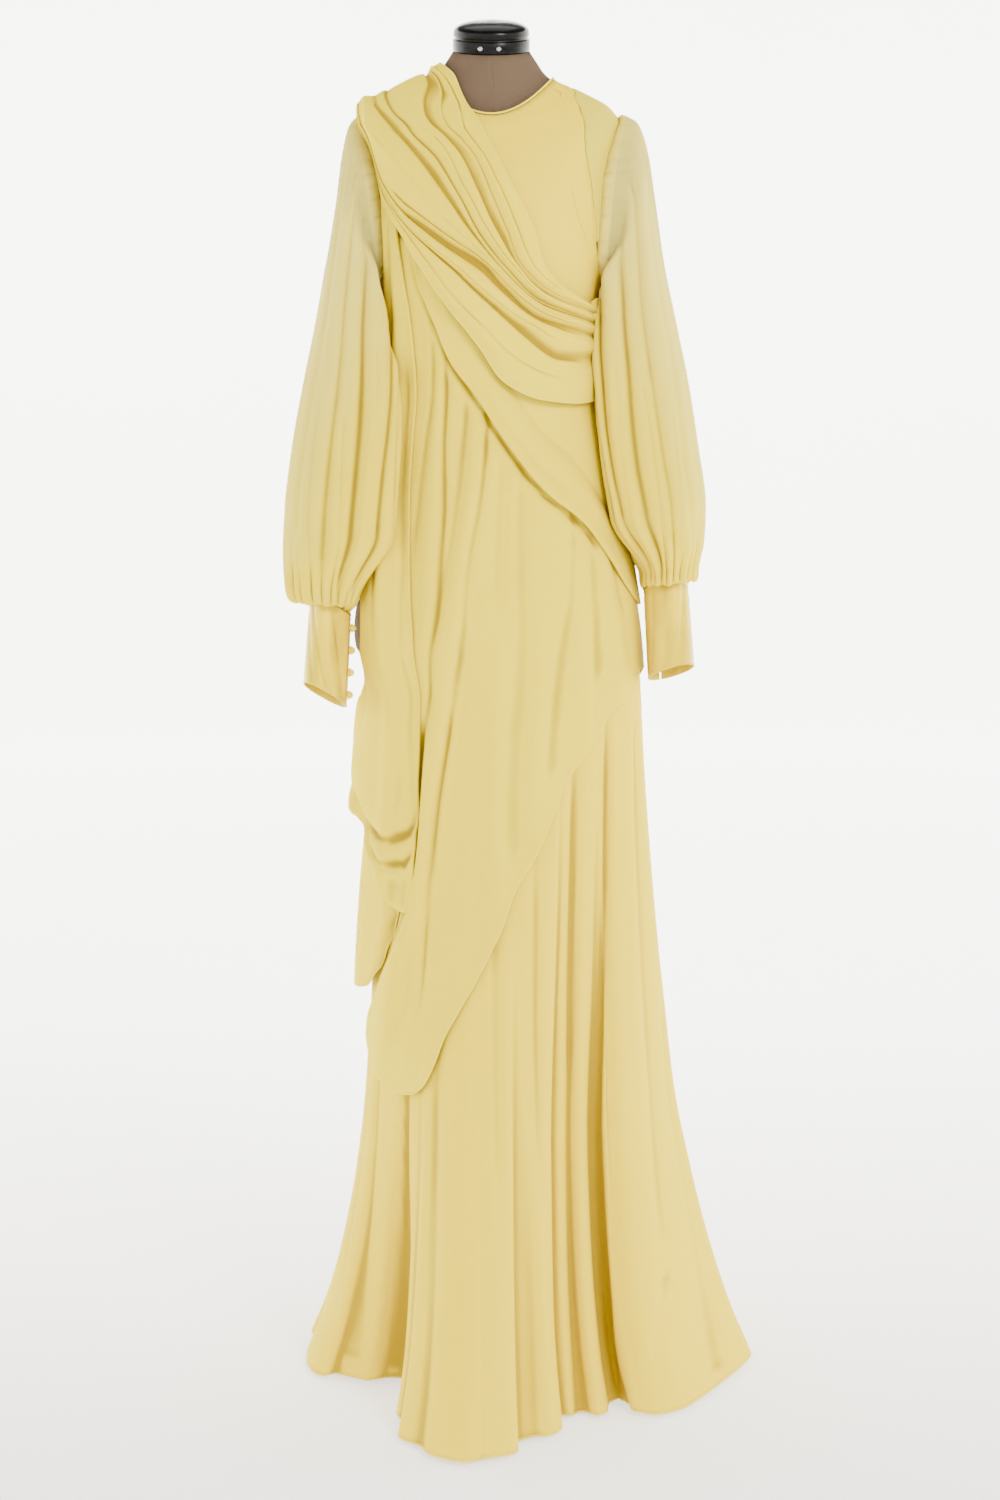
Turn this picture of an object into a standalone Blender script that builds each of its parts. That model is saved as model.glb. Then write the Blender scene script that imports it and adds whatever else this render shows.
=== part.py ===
"""Bias-cut chiffon gown with a shoulder sash and bishop sleeves, standing on its dress form.

Metres, Z up, the front of the gown towards -Y. The gown is laid out on a chart of the body:
an angle in degrees round the body from the front (plus to the viewer's right) and a level, the
height of the ring at the side seam. Every panel is an open patch on that chart, moved out from
the body by its layer and its folds, and given its wall by a Solidify modifier.
"""
import bpy
import numpy as np

WALL = 0.0015            # cloth wall of every panel
SEAM = 0.0006            # gap between two panels at an upright seam
SIDE_REACH = 0.14        # distance of the bodice's side seam from the pole
HIP_REACH = 0.15         # distance of the skirt's side seam from the pole
BACK_REACH = 0.10        # distance of the centre back seam from the pole
WAIST_GAP = 0.0002       # half the gap of the waist seam
RIDGE_GAP = 0.9          # half the gap of the shoulder seam, in degrees
HEM_LIFT = 0.006         # hem above the floor
WAIST = 1.230            # bodice to skirt seam, under the sash
UNDERARM = 1.345         # bottom of the armhole
SHOULDER_TIP = 1.553     # top of the armhole
NECK_LEVEL = 1.600       # jewel neckline
OVERLAY_LIFT = 0.0060    # overlay off the gown
SEWN_LIFT = 0.0043       # an overlay's sewn-down top edge off the gown
FALL_TOP_LIFT = 0.0022   # top edge of the side fall off the gown
WRAP_LIFT = 0.0102       # hip wrap off the gown
BINDING_RADIUS = 0.0014
BASE_RADIUS = 0.140
BASE_THICK = 0.020
POLE_RADIUS = 0.016
NECK_TOP = 1.634
CAP_RADIUS = 0.047
CAP_HEIGHT = 0.0365
CAP_SIDES = 16
CUFF_GAP = 0.0022        # gather line of the sleeve above the cuff's edge
CUFF_FLARE = 0.06        # how much wider the cuff is at its foot
SLEEVE_COLUMNS = 28      # points round a sleeve, one to each side of a fold
CUFF_COLUMNS = 19        # points round a cuff, from one side of its slit to the other
DEGREE_STEP = 0.0026     # distance along the body of one degree of the chart
ROOM_LEFT = 0.027        # room that the left sleeve keeps off the body
ROOM_RIGHT = 0.0165      # room that the right sleeve keeps off the body
FORM_COLUMNS = 24        # points round the dress form
SLIT_HALF = 3.0          # half the slit of a cuff, in degrees round it
BUTTON_SHARES = (.12, .37, .62, .87)
CAP_TILT = 15.0          # degrees the neck top leans to the front
BUTTON_RADIUS = 0.0045

# Gown body rings: level, half width left, half width right, front depth, back depth,
# how far the ring dips at the front and at the back
BODY = [
    (0.000, .236, .328, .330, .300, 0, 0),
    (0.060, .213, .303, .300, .280, 0, 0),
    (0.150, .190, .274, .262, .252, 0, 0),
    (0.250, .171, .249, .228, .224, 0, 0),
    (0.350, .159, .229, .202, .200, 0, 0),
    (0.500, .150, .213, .172, .174, 0, 0),
    (0.650, .146, .199, .150, .158, 0, 0),
    (0.780, .146, .1895, .137, .150, 0, 0),
    (0.850, .149, .186, .133, .147, 0, 0),
    (0.920, .174, .181, .132, .145, 0, 0),
    (0.960, .1735, .1755, .130, .141, 0, 0),
    (1.000, .169, .169, .125, .135, 0, 0),
    (1.080, .152, .156, .113, .116, 0, 0),
    (1.160, .138, .141, .103, .100, 0, 0),
    (1.230, .129, .129, .100, .092, 0, 0),
    (1.300, .130, .130, .113, .094, 0, 0),
    (1.360, .138, .138, .124, .099, 0, 0),
    (1.430, .147, .147, .119, .103, .006, .002),
    (1.500, .154, .153, .105, .103, .022, .010),
    (1.545, .160, .157, .091, .094, .038, .016),
    (1.565, .149, .145, .083, .084, .044, .016),
    (1.585, .112, .110, .075, .072, .048, .014),
    (1.600, .076, .076, .064, .061, .050, .010),
    (1.612, .063, .063, .057, .055, .046, .008),
    (1.630, .055, .055, .053, .051, .030, .004),
]

# Dress form rings, same columns and a last one: how far the ring leans to the front
TORSO = [
    (0.900, .160, .160, .104, .117, 0, 0, 0),
    (0.906, .168, .168, .112, .125, 0, 0, 0),
    (0.930, .1710, .1710, .117, .131, 0, 0, 0),
    (1.000, .160, .159, .114, .124, 0, 0, 0),
    (1.080, .144, .145, .103, .106, 0, 0, 0),
    (1.160, .130, .130, .094, .091, 0, 0, 0),
    (1.230, .121, .121, .091, .084, 0, 0, 0),
    (1.300, .122, .122, .105, .086, 0, 0, 0),
    (1.360, .130, .130, .116, .092, 0, 0, 0),
    (1.430, .139, .139, .111, .096, .006, .002, 0),
    (1.490, .1460, .1445, .0970, .0950, .0200, .0090, 0),
    (1.515, .1515, .1500, .0900, .0910, .0260, .0120, 0),
    (1.538, .1556, .1528, .0790, .0780, .0340, .0155, 0),
    (1.5520, .1554, .1522, .0720, .0730, .0385, .0160, 0),
    (1.5688, .1419, .1379, .0660, .0670, .0430, .0155, 0),
    (1.5820, .1118, .1098, .0510, .0560, .0540, .0138, 0),
    (1.5884, .0962, .0952, .0520, .0535, .0500, .0125, 0),
    (1.5988, .0748, .0748, .0545, .0530, .0440, .0100, .001),
    (1.608, .0640, .0640, .0540, .0525, .0280, .0060, .004),
    (1.618, .0572, .0572, .0520, .0505, .0150, .0020, .008),
    (1.634, .0465, .0465, .0470, .0465, 0, 0, .0122),
]

# Hem of the skirt seen from above, all round: angle on the chart, where the hem stands
# (x, y), and the level where that fold starts. Ridges and valleys take turns.
HEM = [
    (-175, -.018, .316, .66), (-165, -.058, .264, .62), (-155, -.098, .304, .60),
    (-145, -.130, .234, .58), (-135, -.172, .254, .56), (-126, -.178, .188, .54),
    (-117, -.214, .170, .52), (-108, -.212, .110, .50), (-101, -.236, .072, .48),
    (-94, -.231, .030, .44), (-88, -.236, -.012, .42), (-82, -.234, -.049, .42),
    (-76, -.225, -.086, .42), (-68, -.210, -.104, .42), (-60, -.190, -.097, .42),
    (-54, -.156, -.119, .42), (-49, -.129, -.111, .42), (-44.5, -.104, -.115, .42),
    (-41, -.106, -.175, .42), (-37, -.113, -.236, .45), (-34, -.106, -.258, .45),
    (-31, -.108, -.313, .50), (-26, -.080, -.341, .55), (-22, -.070, -.366, .60),
    (-15, -.036, -.387, .62), (-6, -.008, -.378, .64), (4, .029, -.360, .66), (9, .031, -.325, .68),
    (15, .050, -.309, .70), (21, .070, -.305, .74), (24.5, .083, -.285, .78),
    (27.5, .079, -.240, .84), (31, .096, -.240, .86), (34, .108, -.227, .86),
    (39, .129, -.240, .86), (43, .140, -.228, .86), (45, .141, -.190, .86),
    (48, .155, -.164, .86), (51, .166, -.184, .86), (53.5, .168, -.224, .86),
    (57, .180, -.232, .86), (61, .202, -.236, .84), (66, .229, -.219, .80),
    (72, .259, -.175, .72), (79, .291, -.115, .66), (85, .315, -.068, .62),
    (91, .331, -.019, .60), (98, .320, .042, .60), (106, .306, .100, .66),
    (116, .262, .132, .72), (126, .250, .200, .76), (136, .194, .206, .78),
    (146, .168, .282, .78), (155, .114, .244, .74), (165, .070, .314, .70),
    (175, .024, .266, .68),
]

# Side opening on the viewer's left, where the hip of the form shows: level, front edge and
# back edge of the gown in degrees
OPENING = [
    (0.000, -90, -90), (0.866, -90, -90), (0.886, -68, -110), (0.905, -62, -116),
    (0.950, -62, -116), (0.975, -72, -107), (0.995, -90, -90), (1.230, -90, -90),
]

# Armhole: level, front edge and back edge in degrees from the front, same on both sides
ARMHOLE = [
    (UNDERARM, 89.5, 90.5), (1.352, 79, 100), (1.365, 71, 106), (1.385, 65.5, 110),
    (1.416, 63.5, 113), (1.478, 62.5, 114), (1.515, 67, 110), (1.538, 74, 104),
    (SHOULDER_TIP, 88.5, 91.5),
]

# Seam of the small panel beside the armhole: level and degrees
PRINCESS = [
    (1.398, 62.3), (1.420, 60), (1.450, 55.5), (1.480, 52), (1.520, 46.5), (1.548, 45),
    (1.570, 51), (1.584, 63), (1.5905, 88),
]

# Overlay, front, in degrees and level: free left edge downwards, the low lobe, the hem from
# the lobe up to the right hip, and the top edge under the wrap
OVER_LEFT = [
    (-56, 1.395), (-58, 1.27), (-57, 1.15), (-56, 1.02), (-54, .92), (-51, .84), (-47, .76),
    (-42, .69), (-39.5, .645), (-44, .603), (-54, .535), (-66, .482), (-79, .444), (-81, .424),
]
OVER_LOBE = [(-81, .424), (-70, .404), (-58, .384), (-46, .376), (-36, .386)]
OVER_HEM = [
    (89.4, .884), (74, .883), (65, .878), (60, .850), (50, .838), (44, .814), (28, .750), (15, .664),
    (8, .624), (2, .570), (-6, .526), (-15, .486), (-25, .444), (-36, .386),
]
OVER_TOP = [
    (-56, 1.395), (-46, 1.405), (-37, 1.375), (-28, 1.330), (-21, 1.292), (-6, 1.240), (10, 1.180),
    (24, 1.130), (42, 1.090), (56, 1.048), (68, 1.014), (80, .998), (89.4, .990), (89.4, .884),
]
# Overlay, side fall: left edge, right edge (both downwards), top and bottom are joined
FALL_LEFT = [
    (-59.5, 1.492), (-58.5, 1.452), (-59, 1.400), (-62, 1.34), (-64, 1.26), (-62, 1.16), (-59, 1.02),
    (-57, .93), (-59, .895), (-70, .862), (-80, .835), (-88, .785), (-90, .735), (-90, .708),
]
FALL_RIGHT = [
    (-52, 1.492), (-49.5, 1.455), (-48, 1.400), (-46, 1.332), (-42, 1.236), (-40, 1.114),
    (-36.5, 1.050), (-33, .980), (-31, .908), (-34, .832), (-36, .756), (-37, .710), (-38.5, .682),
]
FALL_HEM = [(-90, .708), (-84, .692), (-74, .681), (-59, .676), (-46, .676), (-38.5, .682)]
# Overlay, back: the lobe behind the side fall, then the hem rising to the right hip
BACK_LEFT = [
    (-112, 1.190), (-112, 1.08), (-112, .965), (-110, .905), (-104, .855), (-94, .810), (-80, .760),
    (-64, .70), (-47, .645),
]
BACK_HEM = [
    (-47, .645), (-46, .610), (-55, .555), (-64, .510), (-72, .490), (-90, .482), (-104, .490),
    (-120, .500), (-140, .530), (-160, .570), (-180, .630), (-200, .695), (-220, .765), (-240, .825),
    (-256, .868), (-269.4, .884),
]
BACK_TOP = [
    (-112, 1.190), (-119, 1.235), (-129, 1.258), (-142, 1.250), (-160, 1.215), (-180, 1.170),
    (-200, 1.125), (-220, 1.085), (-245, 1.035), (-269.4, .990),
]
# Hip wrap: folded lower edge from the left breast to the right hip, and its hidden top
WRAP_EDGE = [
    (-40.5, 1.414), (-37, 1.354), (-28, 1.298), (-21, 1.262), (-6, 1.212), (10, 1.150),
    (24, 1.102), (42, 1.064), (56, 1.020), (68, .985), (79, .968), (89.4, .962),
]
WRAP_TOP = [
    (-36.5, 1.420), (-33, 1.385), (-24, 1.352), (-13, 1.325), (0, 1.285), (10, 1.262),
    (26, 1.244), (40, 1.236), (56, 1.234), (66, 1.226), (74, 1.206), (82, 1.196), (89.4, 1.194),
]

# Sash over the left shoulder, fold by fold from the neck side to the arm side. Each row:
# level at the shoulder, lift there, then front stations (degrees, level, lift) to the right
# side, then the lift and level where the same fold reaches the right side over the back.
SASH = [
    ("neck_edge", 1.618, .004, [(-49, 1.620, .004), (-30, 1.608, .004), (-8, 1.588, .004),
     (9, 1.479, .004), (19, 1.418, .006), (26, 1.366, .011), (56, 1.329, .010), (67, 1.324, .008)]),
    ("pleat_1", 1.610, .008, [(-58, 1.611, .009), (-20, 1.589, .009), (-7, 1.552, .009),
     (3, 1.482, .010), (11, 1.423, .011), (20, 1.366, .018), (41, 1.337, .016), (68, 1.319, .012)]),
    ("crease_1", 1.603, .004, [(-66, 1.602, .005), (-15, 1.552, .006), (1, 1.440, .006),
     (6, 1.407, .007), (13, 1.366, .012), (29, 1.338, .012), (68, 1.314, .0085)]),
    ("pleat_2", 1.593, .009, [(-82, 1.592, .009), (-24, 1.549, .012), (-10, 1.467, .012),
     (-1, 1.413, .013), (9, 1.371, .019), (26, 1.335, .018), (69, 1.308, .012)]),
    ("crease_2", 1.575, .007, [(-82, 1.574, .007), (-44, 1.555, .006), (-29, 1.517, .006),
     (-16, 1.455, .007), (-5, 1.399, .008), (6, 1.362, .013), (24, 1.328, .013), (69, 1.302, .0085)]),
    ("roll_crest", 1.568, .015, [(-76, 1.566, .016), (-46, 1.518, .023), (-32, 1.463, .024),
     (-20, 1.424, .023), (-5, 1.384, .023), (10, 1.347, .023), (30, 1.317, .021), (70, 1.295, .0125)]),
    ("crease_3", 1.565, .013, [(-78, 1.560, .014), (-60, 1.537, .015), (-53, 1.483, .015),
     (-43, 1.447, .014), (-30, 1.419, .013), (-18, 1.393, .013), (-3, 1.366, .013), (5, 1.346, .014),
     (24, 1.310, .014), (70, 1.286, .0085)]),
    ("pleat_3", 1.563, .010, [(-79, 1.556, .011), (-61, 1.531, .012), (-54, 1.477, .013),
     (-44, 1.440, .015), (-30, 1.403, .020), (-17, 1.375, .021), (0, 1.340, .022), (18, 1.309, .022),
     (40, 1.285, .019), (71, 1.276, .0125)]),
    ("crease_4", 1.561, .008, [(-79, 1.554, .009), (-62, 1.526, .010), (-55, 1.471, .0115),
     (-44, 1.431, .0135), (-28, 1.388, .0145), (-16, 1.360, .015), (1, 1.323, .015),
     (16, 1.292, .015), (36, 1.266, .014), (72, 1.263, .009)]),
    ("band", 1.559, .0065, [(-80, 1.551, .007), (-62, 1.520, .008), (-55, 1.464, .011),
     (-43, 1.420, .0145), (-31, 1.376, .019), (-20, 1.340, .021), (-4, 1.297, .022),
     (10, 1.262, .022), (28, 1.239, .021), (48, 1.231, .018), (73, 1.240, .0125)]),
    ("low_edge", 1.557, .006, [(-80, 1.548, .006), (-62, 1.515, .0065), (-55.5, 1.456, .0105),
     (-43, 1.409, .0140), (-34, 1.374, .019), (-27, 1.348, .019), (-17, 1.314, .019),
     (-5, 1.276, .018), (7, 1.232, .017), (26, 1.211, .017), (46, 1.207, .015), (74, 1.216, .0105)]),
]
# The same sash over the back: its neck side and its arm side, down to the right side
SASH_BACK_HIGH = [(-90, 1.618), (-104, 1.612), (-118, 1.602), (-132, 1.580), (-150, 1.535),
                  (-180, 1.455), (-220, 1.380), (-284, 1.322)]
SASH_BACK_LOW = [(-90, 1.557), (-101, 1.553), (-112, 1.535), (-121, 1.494), (-135, 1.430),
                 (-165, 1.345), (-205, 1.280), (-284, 1.212)]

# Bishop sleeves: outer line (x, z) and inner line (x, z), middle in y, half depth
SLEEVE_RIGHT = [
    (.1740, 1.5500, .1490, 1.3380, .000, .0600), (.1880, 1.5200, .1505, 1.3240, -.001, .0640),
    (.1985, 1.4600, .1510, 1.2950, -.003, .0680), (.2106, 1.3780, .1510, 1.2600, -.006, .0690),
    (.2259, 1.3050, .1540, 1.2200, -.009, .0700), (.2412, 1.2320, .1570, 1.1750, -.012, .0720),
    (.2529, 1.1580, .1640, 1.1200, -.015, .0740), (.2622, 1.0845, .1740, 1.0650, -.018, .0740),
    (.2600, 1.0400, .1800, 1.0300, -.020, .0690), (.2535, 1.0080, .1850, 1.0010, -.022, .0560),
    (.2520, .9925, .1845, .9860, -.024, .0440), (.2395, .9935, .1915, .9850, -.024, .0310),
]
SLEEVE_LEFT = [
    (-.1720, 1.5420, -.1400, 1.3340, -.004, .0600), (-.1800, 1.5050, -.1390, 1.3200, -.008, .0640),
    (-.1895, 1.4450, -.1380, 1.2950, -.014, .0670), (-.2010, 1.3750, -.1370, 1.2600, -.022, .0680),
    (-.2130, 1.3050, -.1350, 1.2200, -.032, .0690), (-.2275, 1.2320, -.1350, 1.1750, -.042, .0700),
    (-.2405, 1.1580, -.1380, 1.1200, -.052, .0720), (-.2495, 1.0800, -.1410, 1.0600, -.060, .0720),
    (-.2515, 1.0250, -.1450, 1.0150, -.064, .0680), (-.2495, .9900, -.1520, .9800, -.066, .0570),
    (-.2400, .9690, -.1600, .9640, -.068, .0440), (-.2240, .9760, -.1695, .9510, -.068, .0300),
]
# Cuffs: centre (x, y, z) at the top and at the foot, half width, half depth, roll and tilt
# in degrees, and where round the cuff the slit stands (degrees from the outside)
CUFF_RIGHT = ((.2150, -.0240, .9870), (.2215, -.0430, .8800), .0275, .0310, 15, 16, 246)
CUFF_LEFT = ((-.1960, -.0680, .9620), (-.2020, -.0900, .8560), .0275, .0310, 28, 16, 165)

# Materials: name, colour, roughness, metallic
LOOKS = {
    "chiffon": ((0.86, 0.74, 0.30), 0.80, 0.0),
    "charmeuse": ((0.88, 0.74, 0.32), 0.45, 0.0),
    "linen": ((0.33, 0.27, 0.21), 0.90, 0.0),
    "black_plastic": ((0.01, 0.01, 0.01), 0.12, 0.0),
    "steel": ((0.56, 0.57, 0.58), 0.30, 1.0),
    "iron": ((0.05, 0.05, 0.05), 0.50, 0.6),
}


def eased(xs, ys, at):
    """Smooth line through the rows that never overshoots them."""
    xs = np.asarray(xs, float)
    ys = np.asarray(ys, float)
    at = np.clip(np.asarray(at, float), xs[0], xs[-1])
    step = np.diff(xs)
    rise = np.diff(ys) / step
    slope = np.zeros_like(ys)
    same = rise[:-1] * rise[1:] > 0
    first = np.where(same, rise[:-1], 1)
    second = np.where(same, rise[1:], 1)
    wide = 2 * step[1:] + step[:-1]
    tall = step[1:] + 2 * step[:-1]
    slope[1:-1] = np.where(same, (wide + tall) / (wide / first + tall / second), 0)
    slope[0] = rise[0]
    slope[-1] = rise[-1]
    k = np.clip(np.searchsorted(xs, at, side="right") - 1, 0, len(xs) - 2)
    t = (at - xs[k]) / step[k]
    return ((2 * t**3 - 3 * t**2 + 1) * ys[k] + (t**3 - 2 * t**2 + t) * step[k] * slope[k]
            + (3 * t**2 - 2 * t**3) * ys[k + 1] + (t**3 - t**2) * step[k] * slope[k + 1])


def along(points, share):
    """Points at given shares of the length of a smooth line through the rows."""
    pts = np.asarray(points, float)
    scale = np.ones(pts.shape[1])
    scale[0] = 0.0025
    leg = np.linalg.norm(np.diff(pts * scale, axis=0), axis=1)
    dist = np.concatenate([[0], np.cumsum(leg)]) / leg.sum()
    return np.stack([eased(dist, pts[:, k], share) for k in range(pts.shape[1])], -1)


def ring(table, angle, level):
    """Point of a ring table at an angle (radians) and a level."""
    rows = np.asarray(table, float)
    angle, level = np.broadcast_arrays(np.asarray(angle, float), np.asarray(level, float))
    left, right, front, back, dip_front, dip_back = [
        eased(rows[:, 0], rows[:, k], level) for k in range(1, 7)]
    lean = eased(rows[:, 0], rows[:, 7], level) if rows.shape[1] > 7 else 0
    sine = np.sin(angle)
    cosine = np.cos(angle)
    x = np.where(sine > 0, right, left) * sine
    y = -np.where(cosine > 0, front, back) * cosine
    z = level - np.where(cosine > 0, dip_front, dip_back) * cosine**2 - lean * cosine
    return np.stack([x, y, z], -1)


def outward(angle, level):
    """Outward direction of the gown body at a point of the chart."""
    tiny = 1e-4
    across = ring(BODY, angle + tiny, level) - ring(BODY, angle - tiny, level)
    up = (ring(BODY, angle, np.minimum(level + tiny, 1.63))
          - ring(BODY, angle, np.maximum(level - tiny, 0)))
    away = np.cross(across, up)
    return away / np.linalg.norm(away, axis=-1, keepdims=True)


def fold_shift(angle, level):
    """How far the skirt's folds move a point from its plain ring, growing down to the hem."""
    rows = np.asarray(HEM, float)
    deg = (np.degrees(angle) + 180) % 360 - 180
    stations = np.concatenate([rows[-2:, 0] - 360, rows[:, 0], rows[:2, 0] + 360])
    plain = ring(BODY, np.radians(rows[:, 0]), np.zeros(len(rows)))
    columns = []
    for k in (0, 1):
        shift = rows[:, k + 1] - plain[:, k]
        shift = np.concatenate([shift[-2:], shift, shift[:2]])
        columns.append(eased(stations, shift, deg))
    start = np.concatenate([rows[-2:, 3], rows[:, 3], rows[:2, 3]])
    begin = eased(stations, start, deg)
    grow = np.clip((begin - level) / begin, 0, 1) ** 1.35
    return np.stack([columns[0] * grow, columns[1] * grow, np.zeros_like(grow)], -1)


def cloth(deg, level, lift):
    """Point of the garment: chart point, folds of the skirt, and the layer's lift."""
    angle = np.radians(np.asarray(deg, float))
    level = np.asarray(level, float)
    base = ring(BODY, angle, np.maximum(level, 0)) + fold_shift(angle, level)
    spot = base + outward(angle, level) * np.asarray(lift, float)[..., None]
    spot[..., 2] += HEM_LIFT * np.clip(1 - level / 0.2, 0, 1)
    return spot


def patch(top, foot, left, right, columns, rows):
    """Chart grid between four edge lines; top and foot run left to right."""
    u = np.linspace(0, 1, columns + 1) if np.isscalar(columns) else np.asarray(columns, float)
    v = np.linspace(0, 1, rows + 1) if np.isscalar(rows) else np.asarray(rows, float)
    t, f = along(top, u), along(foot, u)
    w, e = along(left, v), along(right, v)
    uu, vv = u[None, :, None], v[:, None, None]
    return ((1 - vv) * t[None] + vv * f[None] + (1 - uu) * w[:, None] + uu * e[:, None]
            - (1 - uu) * (1 - vv) * t[0] - uu * (1 - vv) * t[-1]
            - (1 - uu) * vv * f[0] - uu * vv * f[-1])


def bump(deg, level, line, rise, width_left, width_right):
    """Soft ridge (or trough) along a line of (level, degrees), rise given by level."""
    line = np.asarray(line, float)
    line = line[np.argsort(line[:, 0])]
    off = (deg - eased(line[:, 0], line[:, 1], level)) * DEGREE_STEP
    tall = eased([r[0] for r in rise], [r[1] for r in rise], level)
    wide = np.where(off < 0, width_left, width_right)
    return tall * np.exp(-(off / wide) ** 2)


def seated(lift, top, deg, level):
    """Lift that comes down to the gown at the sewn top edge."""
    line = np.asarray(sorted(top), float)
    below = np.clip((eased(line[:, 0], line[:, 1], deg) - level) / .035, 0, 1)
    return SEWN_LIFT + (lift - SEWN_LIFT) * below * (2 - below)


def overlay_lift(deg, level):
    """Lift of the front overlay: its vertical folds, and the low lobe over the back one."""
    lift = OVERLAY_LIFT - .0012 * np.clip((level - 1.30) / .06, 0, 1)
    lift = lift + bump(deg, level, [(.30, -30), (.90, -24), (1.02, -25), (1.12, -26), (1.25, -25)],
                       [(.3, 0), (.80, .002), (.95, .006), (1.12, .007), (1.20, .002), (1.25, 0)],
                       .018, .014)
    lift = lift + bump(deg, level, [(.30, -60), (.50, -50), (.60, -34), (.68, -29), (.774, -23),
                                    (.872, -18), (.944, -13), (1.03, -9), (1.124, -6), (1.25, -4)],
                       [(.3, 0), (.42, .004), (.60, .010), (.80, .012), (1.00, .009), (1.12, .006),
                        (1.18, .001), (1.25, 0)], .026, .012)
    for at, tall in ((2, .004), (19, .003), (38, .004), (57, .003)):
        lift = lift + bump(deg, level, [(.3, at), (1.3, at - 4)],
                           [(.3, tall), (.9, tall), (1.05, .001), (1.2, 0)], .014, .014)
    return seated(lift, OVER_TOP[:-1], deg, level)


def fall_lift(deg, level):
    """Lift of the side fall: it swings out to the cowl at its foot, and rolls in at its edge."""
    inner = eased([.66, .90, 1.10, 1.30, 1.40, 1.45, 1.492],
                  [.018, .0175, .0155, .0115, .0085, .0058, FALL_TOP_LIFT], level)
    swing = eased([.66, .72, .80, .90, 1.10, 1.30, 1.40, 1.45, 1.492],
                  [.030, .031, .026, .018, .0175, .0125, .0085, .0058, FALL_TOP_LIFT], level)
    side = np.clip((-deg - 40) / 45, 0, 1)
    lift = inner + (swing - inner) * side
    lift = lift + bump(deg, level, [(.6, -52), (.9, -45), (1.2, -52), (1.5, -54)],
                       [(.6, .008), (1.0, .008), (1.20, .006), (1.36, .001), (1.5, 0)], .016, .010)
    edge = np.asarray(FALL_RIGHT)
    inside = (eased(edge[::-1, 1], edge[::-1, 0], level) - deg) / 4.5
    low = np.minimum(lift, overlay_lift(deg, level) + .0042)
    return lift + (low - lift) * np.exp(-inside**2)


def back_lift(deg, level):
    """Lift of the back overlay: the lobe at the left, soft folds down the back."""
    lift = np.full(np.shape(deg), OVERLAY_LIFT)
    lobe = eased([.40, .50, .60, .72, .80, 1.2], [.016, .017, .014, .004, .001, 0], level)
    lift = lift + lobe * np.exp(-((deg + 92) / 22) ** 2)
    lift = lift + .0025 * np.exp(-((deg + 112) / 9) ** 2)
    for at, tall in ((-130, .011), (-153, .008), (-176, .012), (-199, .008), (-222, .010),
                     (-245, .006)):
        lift = lift + bump(deg, level, [(.3, at), (1.4, at - 3)],
                           [(.3, tall * 1.2), (.8, tall), (1.05, tall * .3), (1.2, 0)], .015, .013)
    return seated(lift, BACK_TOP, deg, level)


def wrap_lift(deg, level):
    """Lift of the hip wrap, level with the sash's hollow and a little fuller at its edge."""
    edge = np.asarray(WRAP_EDGE)
    above = level - eased(edge[:, 0], edge[:, 1], deg)
    top = np.asarray(OVER_TOP)[:-1]
    over = np.clip((eased(top[:, 0], top[:, 1], deg) + .050 - level) / .035, 0, 1)
    over = over * over * (3 - 2 * over)
    full = np.clip((deg + 30) / 25, 0, 1) * np.clip((75 - deg) / 40, 0, 1)
    return .0045 + (WRAP_LIFT - .0045) * over + .0035 * np.exp(-(above / .02) ** 2) * full


def sheet(name, points, look, group):
    """Open grid of points made into a cloth panel with its wall."""
    rows, cols = points.shape[:2]
    index = np.arange(rows * cols).reshape(rows, cols)
    quads = np.stack([index[:-1, :-1], index[1:, :-1], index[1:, 1:], index[:-1, 1:]], -1)
    return panel(name, points.reshape(-1, 3), quads.reshape(-1, 4), look, group)


def tube(name, points, look, group):
    """Grid of rings closed round, open at both ends, made into a cloth wall."""
    rows, cols = points.shape[:2]
    index = np.arange(rows * cols).reshape(rows, cols)
    after = np.roll(index, -1, axis=1)
    quads = np.stack([index[:-1], index[1:], after[1:], after[:-1]], -1)
    return panel(name, points.reshape(-1, 3), quads.reshape(-1, 4), look, group)


def panel(name, spots, quads, look, group):
    """Cloth surface with its wall, grown evenly to both sides of it."""
    obj = solid(name, spots, quads.tolist(), look, group)
    wall = obj.modifiers.new("Wall", "SOLIDIFY")
    wall.thickness = WALL
    wall.offset = 0.0
    wall.use_even_offset = False
    return obj


def solid(name, spots, faces, look, group):
    """Mesh object from points and faces, smooth shaded, in its collection."""
    mesh = bpy.data.meshes.new(name)
    mesh.from_pydata([tuple(p) for p in np.asarray(spots, float)], [], faces)
    mesh.validate()
    mesh.shade_smooth()
    mesh.materials.append(bpy.data.materials[look])
    obj = bpy.data.objects.new(name, mesh)
    bpy.data.collections[group].objects.link(obj)
    return obj


def closed(name, rings, look, group):
    """Solid from a stack of rings with a fan over each end."""
    count, cols = rings.shape[:2]
    index = np.arange(count * cols).reshape(count, cols)
    after = np.roll(index, -1, axis=1)
    faces = np.stack([index[:-1], after[:-1], after[1:], index[1:]], -1).reshape(-1, 4).tolist()
    low, high = count * cols, count * cols + 1
    faces += [[low, after[0, k], index[0, k]] for k in range(cols)]
    faces += [[high, index[-1, k], after[-1, k]] for k in range(cols)]
    spots = np.concatenate([rings.reshape(-1, 3), [rings[0].mean(0), rings[-1].mean(0)]])
    return solid(name, spots, faces, look, group)


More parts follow.
